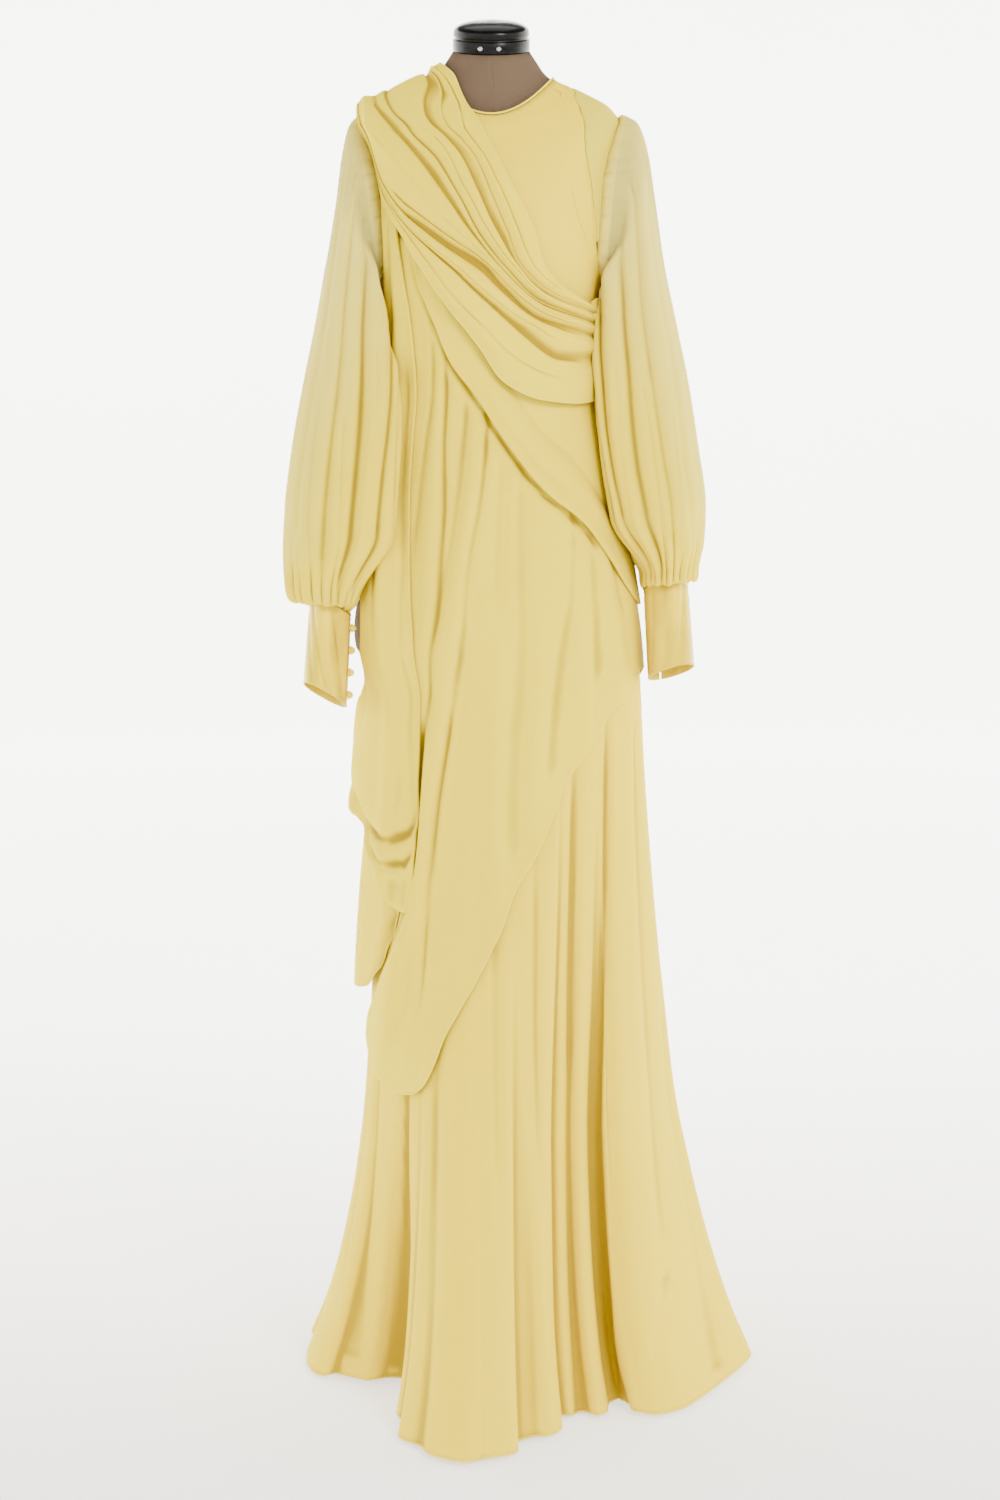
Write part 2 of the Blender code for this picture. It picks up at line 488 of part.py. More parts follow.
def lathe(name, profile, sides, look, group, middle=(0, 0, 0), tilt=0.0):
    """Closed solid of revolution about Z from (radius, height) rows, then tilted about X."""
    turn = np.linspace(0, 2 * np.pi, sides, endpoint=False)
    prof = np.asarray(profile, float)
    rings = np.stack([prof[:, :1] * np.cos(turn), prof[:, :1] * np.sin(turn),
                      np.repeat(prof[:, 1:], sides, 1)], -1)
    c, s = np.cos(np.radians(tilt)), np.sin(np.radians(tilt))
    y = rings[..., 1] * c - rings[..., 2] * s
    z = rings[..., 1] * s + rings[..., 2] * c
    rings = np.stack([rings[..., 0], y, z], -1) + np.asarray(middle, float)
    return closed(name, rings, look, group)


def cord(name, points, radius, loop, look, group):
    """Round cord along a line of points."""
    curve = bpy.data.curves.new(name, "CURVE")
    curve.dimensions = "3D"
    curve.bevel_depth = radius
    curve.bevel_resolution = 0
    curve.use_fill_caps = not loop
    line = curve.splines.new("POLY")
    line.points.add(len(points) - 1)
    for spot, where in zip(line.points, points):
        spot.co = (*where, 1)
    line.use_cyclic_u = loop
    curve.materials.append(bpy.data.materials[look])
    obj = bpy.data.objects.new(name, curve)
    bpy.data.collections[group].objects.link(obj)
    return obj


def start_scene():
    """Empty scene with the three collections and the materials."""
    for obj in list(bpy.data.objects):
        bpy.data.objects.remove(obj, do_unlink=True)
    for group in ("DressForm", "Gown", "Sleeves"):
        bpy.context.scene.collection.children.link(bpy.data.collections.new(group))
    for name, (colour, rough, metal) in LOOKS.items():
        look = bpy.data.materials.new(name)
        look.use_nodes = True
        shader = look.node_tree.nodes["Principled BSDF"]
        shader.inputs["Base Color"].default_value = (*colour, 1)
        shader.inputs["Roughness"].default_value = rough
        shader.inputs["Metallic"].default_value = metal


def dress_form():
    """Torso and neck, neck cap with its two screws, pole and round base."""
    turn = np.radians(np.linspace(-180, 180, FORM_COLUMNS, endpoint=False))
    levels = [row[0] for row in TORSO]
    rings = np.stack([ring(TORSO, turn, np.full(turn.shape, v)) for v in levels])
    closed("form_torso", rings, "linen", "DressForm")
    tall = CAP_HEIGHT
    wide = CAP_RADIUS
    cap = [(wide - .0015, .0), (wide, .0015), (wide, .014), (wide - .0022, .0150),
           (wide - .0022, .0172), (wide - .0004, .0182), (wide - .0014, .0250),
           (wide * .80, tall - .0055), (wide * .50, tall - .0018), (wide * .18, tall)]
    seat = (0, 0, NECK_TOP + .0006)
    lathe("form_neck_cap", cap, CAP_SIDES, "black_plastic", "DressForm", seat, CAP_TILT)
    screw = [(.0030, 0), (.0030, .0012), (.0016, .0022)]
    tilt = np.radians(CAP_TILT)
    half_side = 180 / CAP_SIDES
    for name, side in (("form_cap_screw_left", -16.0), ("form_cap_screw_right", 11.0)):
        turn = np.radians(side)
        out = wide * np.cos(np.radians(half_side)) / np.cos(np.radians(abs(side) - half_side)) + .0006
        flat = np.array([out * np.sin(turn), -out * np.cos(turn), .0075])
        where = np.array([flat[0], flat[1] * np.cos(tilt) - flat[2] * np.sin(tilt),
                          flat[1] * np.sin(tilt) + flat[2] * np.cos(tilt)]) + seat
        lathe(name, screw, 8, "black_plastic", "DressForm", where, CAP_TILT + 90)
    pole = [(POLE_RADIUS, BASE_THICK + .0096), (POLE_RADIUS, .880), (.045, .8830), (.045, .8992)]
    lathe("form_pole", pole, 12, "steel", "DressForm")
    base = [(BASE_RADIUS - .004, 0), (BASE_RADIUS, .004), (BASE_RADIUS, .012),
            (BASE_RADIUS - .004, .016), (.034, BASE_THICK), (.030, BASE_THICK + .009)]
    lathe("form_base", base, 20, "iron", "DressForm")


def bodice():
    """Front panel, the two small panels beside the armholes, two backs and the bound neck."""
    half = 90 - np.degrees(SEAM / 2 / SIDE_REACH)
    arm = np.asarray(ARMHOLE)
    prin = np.asarray(PRINCESS)
    levels = np.array([WAIST + WAIST_GAP, 1.28, 1.32, UNDERARM, 1.36, 1.380, 1.398, 1.44, 1.48, 1.515,
                       1.548, 1.570, 1.584, 1.5905, NECK_LEVEL])
    centre_edge = np.where(levels < UNDERARM + 1e-6, half, 0.0)
    low = (levels > UNDERARM + 1e-6) & (levels < 1.398 - 1e-6)
    centre_edge[low] = np.interp(levels[low], arm[:, 0], arm[:, 1])
    high = levels >= 1.398 - 1e-6
    centre_edge[high] = np.interp(levels[high], np.append(prin[:, 0], NECK_LEVEL),
                                  np.append(prin[:, 1], 90 - RIDGE_GAP))
    spread = np.linspace(-1, 1, 13)
    deg = centre_edge[:, None] * spread[None]
    lev = np.repeat(levels[:, None], len(spread), 1)
    sheet("bodice_front", cloth(deg, lev, np.zeros(deg.shape))[::-1], "chiffon", "Gown")
    rise = np.array([1.402, 1.44, 1.48, 1.515, 1.538, SHOULDER_TIP, 1.570, 1.584, 1.589])
    inner = np.interp(rise, prin[:, 0], prin[:, 1]) + .35
    outer = np.where(rise <= SHOULDER_TIP, np.interp(rise, arm[:, 0], arm[:, 1]), 90 - RIDGE_GAP)
    for name, side in (("bodice_side_left", -1), ("bodice_side_right", 1)):
        deg = side * (inner[:, None] + (outer - inner)[:, None] * np.linspace(0, 1, 4)[None])
        lev = np.repeat(rise[:, None], 4, 1)
        grid = cloth(deg, lev, np.zeros(deg.shape))
        sheet(name, grid[::-side], "chiffon", "Gown")
    levels = np.array([WAIST + WAIST_GAP, 1.28, 1.32, UNDERARM, 1.365, 1.385, 1.416, 1.478, 1.515, 1.538,
                       SHOULDER_TIP, 1.570, 1.585, NECK_LEVEL])
    edge = np.where(levels <= UNDERARM, 180 - half, np.interp(levels, arm[:, 0], arm[:, 2]))
    edge = np.where(levels >= SHOULDER_TIP, 90 + RIDGE_GAP, edge)
    middle = 180 - np.degrees(SEAM / 2 / BACK_REACH)
    for name, side in (("bodice_back_left", -1), ("bodice_back_right", 1)):
        deg = side * (edge[:, None] + (middle - edge)[:, None] * np.linspace(0, 1, 8)[None])
        lev = np.repeat(levels[:, None], 8, 1)
        sheet(name, cloth(deg, lev, np.zeros(deg.shape))[::-side], "chiffon", "Gown")
    turn = np.linspace(-180, 180, 26, endpoint=False)
    rim = cloth(turn, np.full(26, NECK_LEVEL), np.zeros(26))
    rim[:, 2] += BINDING_RADIUS + .0012
    cord("neck_binding", rim, BINDING_RADIUS, True, "chiffon", "Gown")


def skirt():
    """Front panel and two back panels, with a column on each ridge and valley of the hem."""
    rows = np.asarray(HEM, float)[:, 0]
    gap = np.degrees(SEAM / 2 / HIP_REACH)
    levels = np.array([WAIST - WAIST_GAP, 1.12, .995, .950, .905, .866, .74, .60, .46, .34, .22, .10, 0])
    table = np.asarray(OPENING)
    front_edge = eased(table[:, 0], table[:, 1], levels) + gap
    back_edge = eased(table[:, 0], table[:, 2], levels) - gap
    front = np.concatenate([[-90 + gap], rows[(rows > -86) & (rows < 86)], [90 - gap]])
    extra = np.array([-10, 0, 6.5, 64, 69])
    front = np.unique(np.concatenate([front, extra, [-39, -32.5]]))
    share = (front - front[0]) / (front[-1] - front[0])
    right = 90 - gap
    deg = front_edge[:, None] + (right - front_edge)[:, None] * share[None]
    lev = np.repeat(levels[:, None], len(front), 1)
    sheet("skirt_front", cloth(deg, lev, np.zeros(deg.shape)), "chiffon", "Gown")
    left = rows[rows < -95]
    half = (left[1:] + left[:-1]) / 2
    left = np.unique(np.concatenate([[-90 - gap], left, half, [-180 + gap / 2]]))
    share = (left - left[0]) / (left[-1] - left[0])
    deg = (-180 + gap / 2) + (back_edge + 180 - gap / 2)[:, None] * share[None]
    lev = np.repeat(levels[:, None], len(left), 1)
    sheet("skirt_back_left", cloth(deg, lev, np.zeros(deg.shape)), "chiffon", "Gown")
    right = rows[rows > 95]
    half = (right[1:] + right[:-1]) / 2
    right = np.unique(np.concatenate([[90 + gap], right, half, [180 - gap / 2]]))
    deg = np.repeat(right[None], len(levels), 0)
    lev = np.repeat(levels[:, None], len(right), 1)
    sheet("skirt_back_right", cloth(deg, lev, np.zeros(deg.shape)), "chiffon", "Gown")


def overlay():
    """Draped overlay: its front, the fall at the side and the back with its lobe."""
    grid = patch(OVER_TOP, OVER_LOBE, OVER_LEFT, OVER_HEM, 18, 17)
    deg, level = grid[..., 0], grid[..., 1]
    sheet("overlay_front", cloth(deg, level, overlay_lift(deg, level)), "chiffon", "Gown")
    top = [FALL_LEFT[0], FALL_RIGHT[0]]
    grid = patch(top, FALL_HEM, FALL_LEFT, FALL_RIGHT, 8, 16)
    deg, level = grid[..., 0], grid[..., 1]
    sheet("overlay_side_fall", cloth(deg, level, fall_lift(deg, level)), "chiffon", "Gown")
    right = [BACK_TOP[-1], BACK_HEM[-1]]
    grid = patch(BACK_TOP, BACK_HEM, BACK_LEFT, right, 20, 12)
    deg, level = grid[..., 0], grid[..., 1]
    sheet("overlay_back", cloth(deg, level, back_lift(deg, level))[:, ::-1], "chiffon", "Gown")


def wrap():
    """Hip wrap under the sash, from the left breast to the right hip."""
    left = [WRAP_TOP[0], WRAP_EDGE[0]]
    right = [WRAP_TOP[-1], (89.4, 1.08), WRAP_EDGE[-1]]
    grid = patch(WRAP_TOP, WRAP_EDGE, left, right, 16, 6)
    sheet("hip_wrap", cloth(grid[..., 0], grid[..., 1], wrap_lift(grid[..., 0], grid[..., 1])),
          "chiffon", "Gown")


def sash():
    """Pleated sash: over the shoulder to the right side in front and over the back."""
    front_share = np.linspace(0, 1, 17)
    back_share = np.array([0, .05, .10, .16, .23, .31, .40, .50, .62, .74, .87, 1.0])
    high = along(SASH_BACK_HIGH, back_share)
    low = along(SASH_BACK_LOW, back_share)
    lines = []
    for k, (name, level, lift, front) in enumerate(SASH):
        ahead = along([(-90, level, lift)] + front, front_share)
        even = k / (len(SASH) - 1)
        packed = (SASH[0][1] - level) / (SASH[0][1] - SASH[-1][1])
        mix = np.clip(back_share / .5, 0, 1)
        weight = packed + (even - packed) * mix * mix * (3 - 2 * mix)
        crest = "crease" not in name and "edge" not in name
        rise = eased([0, .12, .3, .6, 1], [lift, lift + .003, .0145 if crest else .009,
                                         .0145 if crest else .0085, .0125 if crest else .0085], back_share)
        behind = np.column_stack([high + (low - high) * weight[:, None], rise])
        lines.append(np.concatenate([behind[:0:-1], ahead]))
    lines = np.asarray(lines)
    count = len(lines)
    across = np.linspace(0, count - 1, 2 * count - 1)
    grid = np.stack([np.stack([eased(np.arange(count), lines[:, s, k], across)
                               for s in range(lines.shape[1])], -1) for k in range(3)], -1)
    sheet("sash", cloth(grid[..., 0], grid[..., 1], grid[..., 2]), "chiffon", "Gown")


def sleeve_rings(table, side, columns):
    """Rings of a sleeve from the armhole to the cuff, columns round from the outside."""
    turn = np.linspace(0, 2 * np.pi, columns, endpoint=False)
    rings = []
    for out_x, out_z, in_x, in_z, mid_y, deep in table:
        mid = np.array([(out_x + in_x) / 2, mid_y, (out_z + in_z) / 2])
        arm = np.array([(out_x - in_x) / 2, 0, (out_z - in_z) / 2])
        fore = np.array([0, -deep, 0])
        rings.append(mid + np.cos(turn)[:, None] * arm + np.sin(turn)[:, None] * fore)
    arm = np.asarray(ARMHOLE)
    front_deg = np.concatenate([arm[::-1, 1], arm[1:, 2]])
    front_lev = np.concatenate([arm[::-1, 0], arm[1:, 0]])
    hole = np.stack([side * front_deg, front_lev], -1)
    leg = np.hypot(np.diff(hole[:, 0]) * DEGREE_STEP, np.diff(hole[:, 1]))
    dist = np.concatenate([[0], np.cumsum(leg)]) / leg.sum()
    share = turn / (2 * np.pi)
    deg = np.interp(share, dist, hole[:, 0])
    lev = np.interp(share, dist, hole[:, 1])
    centre = np.array([side * 90.0, 1.45])
    deg = centre[0] + (deg - centre[0]) * .985
    lev = centre[1] + (lev - centre[1]) * .985
    rings.insert(0, cloth(deg, lev, np.full(columns, .0015)))
    return np.asarray(rings)


def clear_of_body(points, side, room):
    """Points moved out sideways so that they stay off the gown's outermost layer."""
    rows = np.asarray(BODY, float)
    level = points[..., 2]
    wide = eased(rows[:, 0], rows[:, 2 if side > 0 else 1], level) + room
    deep = np.where(points[..., 1] < 0, eased(rows[:, 0], rows[:, 3], level),
                    eased(rows[:, 0], rows[:, 4], level)) + room
    limit = wide * np.sqrt(np.clip(1 - (points[..., 1] / deep) ** 2, 0, 1))
    moved = points.copy()
    moved[..., 0] = side * np.maximum(side * points[..., 0], limit)
    return moved


def cuff_frame(spec, side):
    """Middle line of a cuff and its two half-axes: sideways and to the front."""
    top, foot, wide, deep, roll, tilt, slit = spec
    roll = np.radians(roll)
    tilt = np.radians(tilt)
    across = np.array([side * np.cos(roll), 0, np.sin(roll)])
    fore = np.array([0, -np.cos(tilt), np.sin(tilt)])
    return np.asarray(top), np.asarray(foot), across * wide, fore * deep


def sleeves():
    """Both sleeves, folded in and out at every other column and gathered into their cuffs."""
    waves = np.tile([1.0, -1.0], SLEEVE_COLUMNS // 2)
    for name, table, spec, side, room in (("sleeve_left", SLEEVE_LEFT, CUFF_LEFT, -1, ROOM_LEFT),
                                          ("sleeve_right", SLEEVE_RIGHT, CUFF_RIGHT, 1, ROOM_RIGHT)):
        rings = sleeve_rings(table[:-1], side, len(waves))
        depth = np.concatenate([[0, .001, .002], np.full(len(rings) - 3, .0026)])
        away = rings - rings.mean(1, keepdims=True)
        away = away / np.linalg.norm(away, axis=-1, keepdims=True)
        rings = rings + away * depth[:, None, None] * waves[None, :, None]
        turn = np.linspace(0, 2 * np.pi, len(waves), endpoint=False)[:, None]
        top, foot, across, fore = cuff_frame(spec, side)
        down = (foot - top) / np.linalg.norm(foot - top)
        last = top - down * CUFF_GAP + np.cos(turn) * across + np.sin(turn) * fore
        for k in range(2, len(rings)):
            rings[k] = clear_of_body(rings[k], side, room)
        rings = np.concatenate([rings, last[None]])
        tube(name, rings[:, ::side], "chiffon", "Sleeves")


def cuff(name, spec, side):
    """Cuff band, open at its slit."""
    top, foot, across, fore = cuff_frame(spec, side)
    turn = np.radians(spec[6] + SLIT_HALF + np.linspace(0, 360 - 2 * SLIT_HALF, CUFF_COLUMNS))[:, None]
    rows = []
    for share in (0, .5, 1):
        grow = 1 + CUFF_FLARE * share
        rows.append(top + (foot - top) * share + (np.cos(turn) * across + np.sin(turn) * fore) * grow)
    grid = np.asarray(rows)
    sheet(name, grid[:, ::side], "charmeuse", "Sleeves")


def buttons(name, spec, side):
    """Four covered ball buttons beside the slit of a cuff."""
    top, foot, across, fore = cuff_frame(spec, side)
    slit = np.radians(spec[6])
    away = np.cos(slit) * across + np.sin(slit) * fore
    stand = away / np.linalg.norm(away) * (BUTTON_RADIUS + .0007)
    ball = [(.45, -.9), (.9, -.45), (1.0, 0), (.9, .45), (.45, .9)]
    ball = [(r * BUTTON_RADIUS, h * BUTTON_RADIUS) for r, h in ball]
    for k, share in enumerate(BUTTON_SHARES):
        spot = top + (foot - top) * share + away * (1 + CUFF_FLARE * share) + stand
        lathe(f"{name}_button_{k + 1}", ball, 6, "charmeuse", "Sleeves", spot)


def main():
    """Builds every part in turn."""
    start_scene()
    dress_form()
    bodice()
    skirt()
    overlay()
    wrap()
    sash()
    sleeves()
    for name, spec, side in (("cuff_left", CUFF_LEFT, -1), ("cuff_right", CUFF_RIGHT, 1)):
        cuff(name, spec, side)
        buttons(name, spec, side)


main()
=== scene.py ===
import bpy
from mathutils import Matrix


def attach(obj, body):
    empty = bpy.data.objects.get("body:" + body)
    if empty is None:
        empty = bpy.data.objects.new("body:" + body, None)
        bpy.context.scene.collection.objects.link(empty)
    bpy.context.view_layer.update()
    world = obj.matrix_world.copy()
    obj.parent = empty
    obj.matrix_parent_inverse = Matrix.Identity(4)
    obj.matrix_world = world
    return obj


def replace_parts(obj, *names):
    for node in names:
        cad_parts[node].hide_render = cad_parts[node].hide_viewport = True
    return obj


bl_info = {
    "name": "Bias-cut Chiffon Gown",
    "version": (1, 0, 0),
    "blender": (4, 5, 0),
    "location": "View3D > Sidebar > Gown",
    "description": "Dresses the gown and its dress form: chiffon panels, sash, sleeves, cuffs and stage",
    "category": "Object",
}

import bpy
import numpy as np
from bpy.props import FloatProperty, FloatVectorProperty, PointerProperty
from mathutils import Vector

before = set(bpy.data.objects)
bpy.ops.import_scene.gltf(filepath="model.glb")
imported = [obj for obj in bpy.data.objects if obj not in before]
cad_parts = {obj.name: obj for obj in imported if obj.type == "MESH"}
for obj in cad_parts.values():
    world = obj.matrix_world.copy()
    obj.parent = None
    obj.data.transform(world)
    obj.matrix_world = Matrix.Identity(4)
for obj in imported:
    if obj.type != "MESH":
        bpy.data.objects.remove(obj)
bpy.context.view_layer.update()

# Driving sizes in metres, as the solids have them
WAIST = 1.230
UNDERARM = 1.345
SHOULDER_TIP = 1.553
NECK_LEVEL = 1.600
NECK_TOP = 1.634
HEM_LIFT = 0.006
OVERLAY_LIFT = 0.0060
SEWN_LIFT = 0.0043
FALL_TOP_LIFT = 0.0022
WRAP_LIFT = 0.0102
WRAP_LOW = .0045         # lift of the hip wrap under the sash
WRAP_FULL = .0046        # how much more it lifts along its edge
CAP_RADIUS = 0.047
CAP_HEIGHT = 0.0365
CAP_TILT = 15.0
BUTTON_RADIUS = 0.0045
BUTTON_GAP = .0007       # between a ball button and its cuff
LOOP_RADIUS = .0007      # cord of a button's loop
LOOP_BOW = (.0062, .0066, .0052)     # how far the loop bows, how far back it starts, its half height
CUFF_FLARE = 0.06
CUFF_GAP = 0.0022
CUFF_WALL = .0013
SLIT_HALF = 3.0          # half the cuff's slit, in degrees
STITCHES = (.045, .955)  # shares of the cuff's length at which its edges are stitched
STITCH_DEPTH = .00045
STITCH_WIDTH = .018      # as a share of the cuff's length
BASE_RADIUS = 0.140
BASE_THICK = 0.020
POLE_RADIUS = 0.016
FINE = 2.0e-4            # gap kept at the waist seam between two chiffon panels
BODICE_SEAM = .0006      # gap at the bodice's upright seams
BODICE_BREADTH = .28
BODICE_DEPTH = .20
SKIRT_SEAM = .00016      # gap at the skirt's upright seams
SKIRT_BREADTH = .30
UNDER_SEAM = -.0007      # how far a panel's edge dips under its neighbour
DEGREE_STEP = .0026      # metres a degree of the chart stands for, at about the hips
LINE_STEP = .0025        # the same, where the length of an edge line is measured
TINY = 1e-4              # step, in radians and metres, for a direction worked out from two points
FINE_CLOTH = .85         # share of the chosen wall that the finer pieces have
LINE_LEGS = 20           # short legs a crease's smooth line is cut into
RIDGE_SHARE = .42        # height of a crease's ridge as a share of its valley's depth
FOLD_START = 1.35        # power by which the skirt's folds open out below their start
ARMHOLE_SHARE = 1.012    # a sleeve's first ring is this much larger than the armhole
ARMHOLE_LIFT = -.0009    # and lies this far under the bodice
ARMHOLE_MIDDLE = 1.45    # level of the armhole's middle
SLEEVE_COLUMNS = 216
SLEEVE_CROWN = .006      # rise of the gathered head over the shoulder
SLEEVE_LAP = (150, 40, .034, .016)   # where a sleeve laps over the body: degrees, width, in, forwards

# Gown body rings: level, half width left, half width right, front depth, back depth,
# how far the ring dips at the front and at the back
BODY = [
    (0.000, .236, .328, .330, .300, 0, 0), (0.060, .213, .303, .300, .280, 0, 0),
    (0.150, .190, .274, .262, .252, 0, 0), (0.250, .171, .249, .228, .224, 0, 0),
    (0.350, .159, .229, .202, .200, 0, 0), (0.500, .150, .213, .172, .174, 0, 0),
    (0.650, .146, .199, .150, .158, 0, 0), (0.780, .146, .1895, .137, .150, 0, 0),
    (0.850, .149, .186, .133, .147, 0, 0), (0.920, .174, .181, .132, .145, 0, 0),
    (0.960, .1735, .1755, .130, .141, 0, 0), (1.000, .169, .169, .125, .135, 0, 0),
    (1.080, .152, .156, .113, .116, 0, 0), (1.160, .138, .141, .103, .100, 0, 0),
    (1.230, .129, .129, .100, .092, 0, 0), (1.300, .130, .130, .113, .094, 0, 0),
    (1.360, .138, .138, .124, .099, 0, 0), (1.430, .147, .147, .119, .103, .006, .002),
    (1.500, .154, .153, .105, .103, .022, .010), (1.545, .160, .157, .091, .094, .038, .016),
    (1.565, .149, .145, .083, .084, .044, .016), (1.585, .112, .110, .075, .072, .048, .014),
    (1.600, .076, .076, .064, .061, .050, .010), (1.612, .063, .063, .057, .055, .046, .008),
    (1.630, .055, .055, .053, .051, .030, .004),
]
# Dress form rings: the same columns, and how far the ring leans to the front
TORSO = [
    (0.900, .160, .160, .104, .117, 0, 0, 0), (0.906, .168, .168, .112, .125, 0, 0, 0),
    (0.930, .1710, .1710, .117, .131, 0, 0, 0), (1.000, .160, .159, .114, .124, 0, 0, 0),
    (1.080, .144, .145, .103, .106, 0, 0, 0), (1.160, .130, .130, .094, .091, 0, 0, 0),
    (1.230, .121, .121, .091, .084, 0, 0, 0), (1.300, .122, .122, .105, .086, 0, 0, 0),
    (1.360, .130, .130, .116, .092, 0, 0, 0), (1.430, .139, .139, .111, .096, .006, .002, 0),
    (1.490, .1460, .1445, .0970, .0950, .0200, .0090, 0),
    (1.515, .1515, .1500, .0900, .0910, .0260, .0120, 0),
    (1.538, .1556, .1528, .0790, .0780, .0340, .0155, 0),
    (1.5520, .1554, .1522, .0720, .0730, .0385, .0160, 0),
    (1.5688, .1419, .1379, .0660, .0670, .0430, .0155, 0),
    (1.5820, .1118, .1098, .0510, .0560, .0540, .0138, 0),
    (1.5884, .0962, .0952, .0520, .0535, .0500, .0125, 0),
    (1.5988, .0748, .0748, .0545, .0530, .0440, .0100, .001),
    (1.608, .0640, .0640, .0540, .0525, .0280, .0060, .004),
    (1.618, .0572, .0572, .0520, .0505, .0150, .0020, .008),
    (1.634, .0465, .0465, .0470, .0465, 0, 0, .0122),
]
# Hem of the skirt seen from above: angle, x, y, and the level where that fold starts
HEM = [
    (-175, -.018, .316, .66), (-165, -.058, .264, .62), (-155, -.098, .304, .60),
    (-145, -.130, .234, .58), (-135, -.172, .254, .56), (-126, -.178, .188, .54),
    (-117, -.214, .170, .52), (-108, -.212, .110, .50), (-101, -.236, .072, .48),
    (-94, -.231, .030, .44), (-88, -.236, -.012, .42), (-82, -.234, -.049, .42),
    (-76, -.225, -.086, .42), (-68, -.210, -.104, .42), (-60, -.190, -.097, .42),
    (-54, -.156, -.119, .42), (-49, -.129, -.111, .42), (-44.5, -.104, -.115, .42),
    (-41, -.106, -.175, .42), (-37, -.113, -.236, .45), (-34, -.106, -.258, .45),
    (-31, -.108, -.313, .50), (-26, -.080, -.341, .55), (-22, -.070, -.366, .60),
    (-15, -.036, -.387, .62), (-6, -.008, -.378, .64), (4, .029, -.360, .66), (9, .031, -.325, .68),
    (15, .050, -.309, .70), (21, .070, -.305, .74), (24.5, .083, -.285, .78),
    (27.5, .079, -.240, .84), (31, .096, -.240, .86), (34, .108, -.227, .86),
    (39, .129, -.240, .86), (43, .140, -.228, .86), (45, .142, -.200, .86),
    (48, .155, -.183, .86), (51, .166, -.196, .86), (53.5, .168, -.224, .86),
    (57, .180, -.232, .86), (61, .202, -.236, .84), (66, .229, -.219, .80),
    (72, .259, -.175, .72), (79, .291, -.115, .66), (85, .315, -.068, .62),
    (91, .331, -.019, .60), (98, .320, .042, .60), (106, .306, .100, .66),
    (116, .262, .132, .72), (126, .250, .200, .76), (136, .194, .206, .78),
    (146, .168, .282, .78), (155, .114, .244, .74), (165, .070, .314, .70),
    (175, .024, .266, .68),
]
# Side opening: level, front edge and back edge of the gown in degrees
OPENING = [
    (0.000, -90, -90), (0.866, -90, -90), (0.886, -68, -110), (0.905, -62, -116),
    (0.950, -62, -116), (0.975, -72, -107), (0.995, -90, -90), (1.230, -90, -90),
]
# Armhole: level, front edge and back edge in degrees from the front, same on both sides
ARMHOLE = [
    (UNDERARM, 89.5, 90.5), (1.352, 79, 100), (1.365, 71, 106), (1.385, 65.5, 110),
    (1.416, 63.5, 113), (1.478, 62.5, 114), (1.515, 67, 110), (1.538, 74, 104),
    (SHOULDER_TIP, 88.5, 91.5),
]
# Seam of the small panel beside the armhole: level and degrees
PRINCESS = [
    (1.398, 62.3), (1.420, 60), (1.450, 55.5), (1.480, 52), (1.520, 46.5), (1.548, 45),
    (1.570, 51), (1.584, 63), (1.5905, 88),
]
# Overlay edges in degrees and level
OVER_LEFT = [
    (-56, 1.395), (-58, 1.27), (-57, 1.15), (-56, 1.02), (-54, .92), (-51, .84), (-47, .76),
    (-42, .69), (-39.5, .645), (-44, .603), (-54, .535), (-66, .482), (-79, .444), (-81, .424),
]
OVER_LOBE = [(-81, .424), (-70, .404), (-58, .384), (-46, .373), (-36, .377)]
OVER_HEM = [
    (89.4, .884), (74, .883), (65, .878), (60, .850), (50, .838), (44, .814), (28, .750), (15, .664),
    (8, .624), (2, .570), (-6, .526), (-15, .486), (-22, .450), (-27, .414), (-31, .390), (-36, .377),
]
OVER_TOP = [
    (-56, 1.395), (-46, 1.405), (-37, 1.375), (-28, 1.330), (-21, 1.292), (-6, 1.240), (10, 1.180),
    (24, 1.130), (42, 1.090), (56, 1.048), (68, 1.014), (80, .998), (89.4, .990), (89.4, .884),
]
FALL_LEFT = [
    (-59.5, 1.492), (-58.5, 1.452), (-59, 1.400), (-62, 1.34), (-64, 1.26), (-62, 1.16), (-59, 1.02),
    (-57, .93), (-59, .895), (-70, .862), (-80, .835), (-88, .785), (-90, .735), (-90, .712),
]
FALL_RIGHT = [
    (-52, 1.492), (-49.5, 1.455), (-48, 1.400), (-46, 1.332), (-42, 1.236), (-40, 1.114),
    (-36.5, 1.050), (-33, .980), (-31, .908), (-33, .832), (-34, .756), (-34.5, .700), (-35.5, .612),
]
FALL_HEM = [(-90, .712), (-84, .709), (-77, .704), (-70, .693), (-65, .674), (-60, .650), (-53, .627),
            (-46, .604), (-40, .598), (-35.5, .612)]
BACK_LEFT = [
    (-112, 1.190), (-112, 1.08), (-112, .965), (-110, .905), (-104, .855), (-94, .810), (-80, .760),
    (-64, .70), (-47, .645),
]
BACK_HEM = [
    (-47, .645), (-46, .610), (-55, .555), (-64, .510), (-72, .490), (-90, .482), (-104, .490),
    (-120, .500), (-140, .530), (-160, .570), (-180, .630), (-200, .695), (-220, .765), (-240, .825),
    (-256, .868), (-269.4, .884),
]
BACK_TOP = [
    (-112, 1.190), (-119, 1.235), (-129, 1.258), (-142, 1.250), (-160, 1.215), (-180, 1.170),
    (-200, 1.125), (-220, 1.085), (-245, 1.035), (-269.4, .990),
]
WRAP_EDGE = [
    (-40.5, 1.414), (-37, 1.354), (-28, 1.298), (-21, 1.262), (-6, 1.212), (10, 1.150),
    (24, 1.102), (42, 1.064), (56, 1.020), (68, .985), (79, .968), (89.4, .962),
]
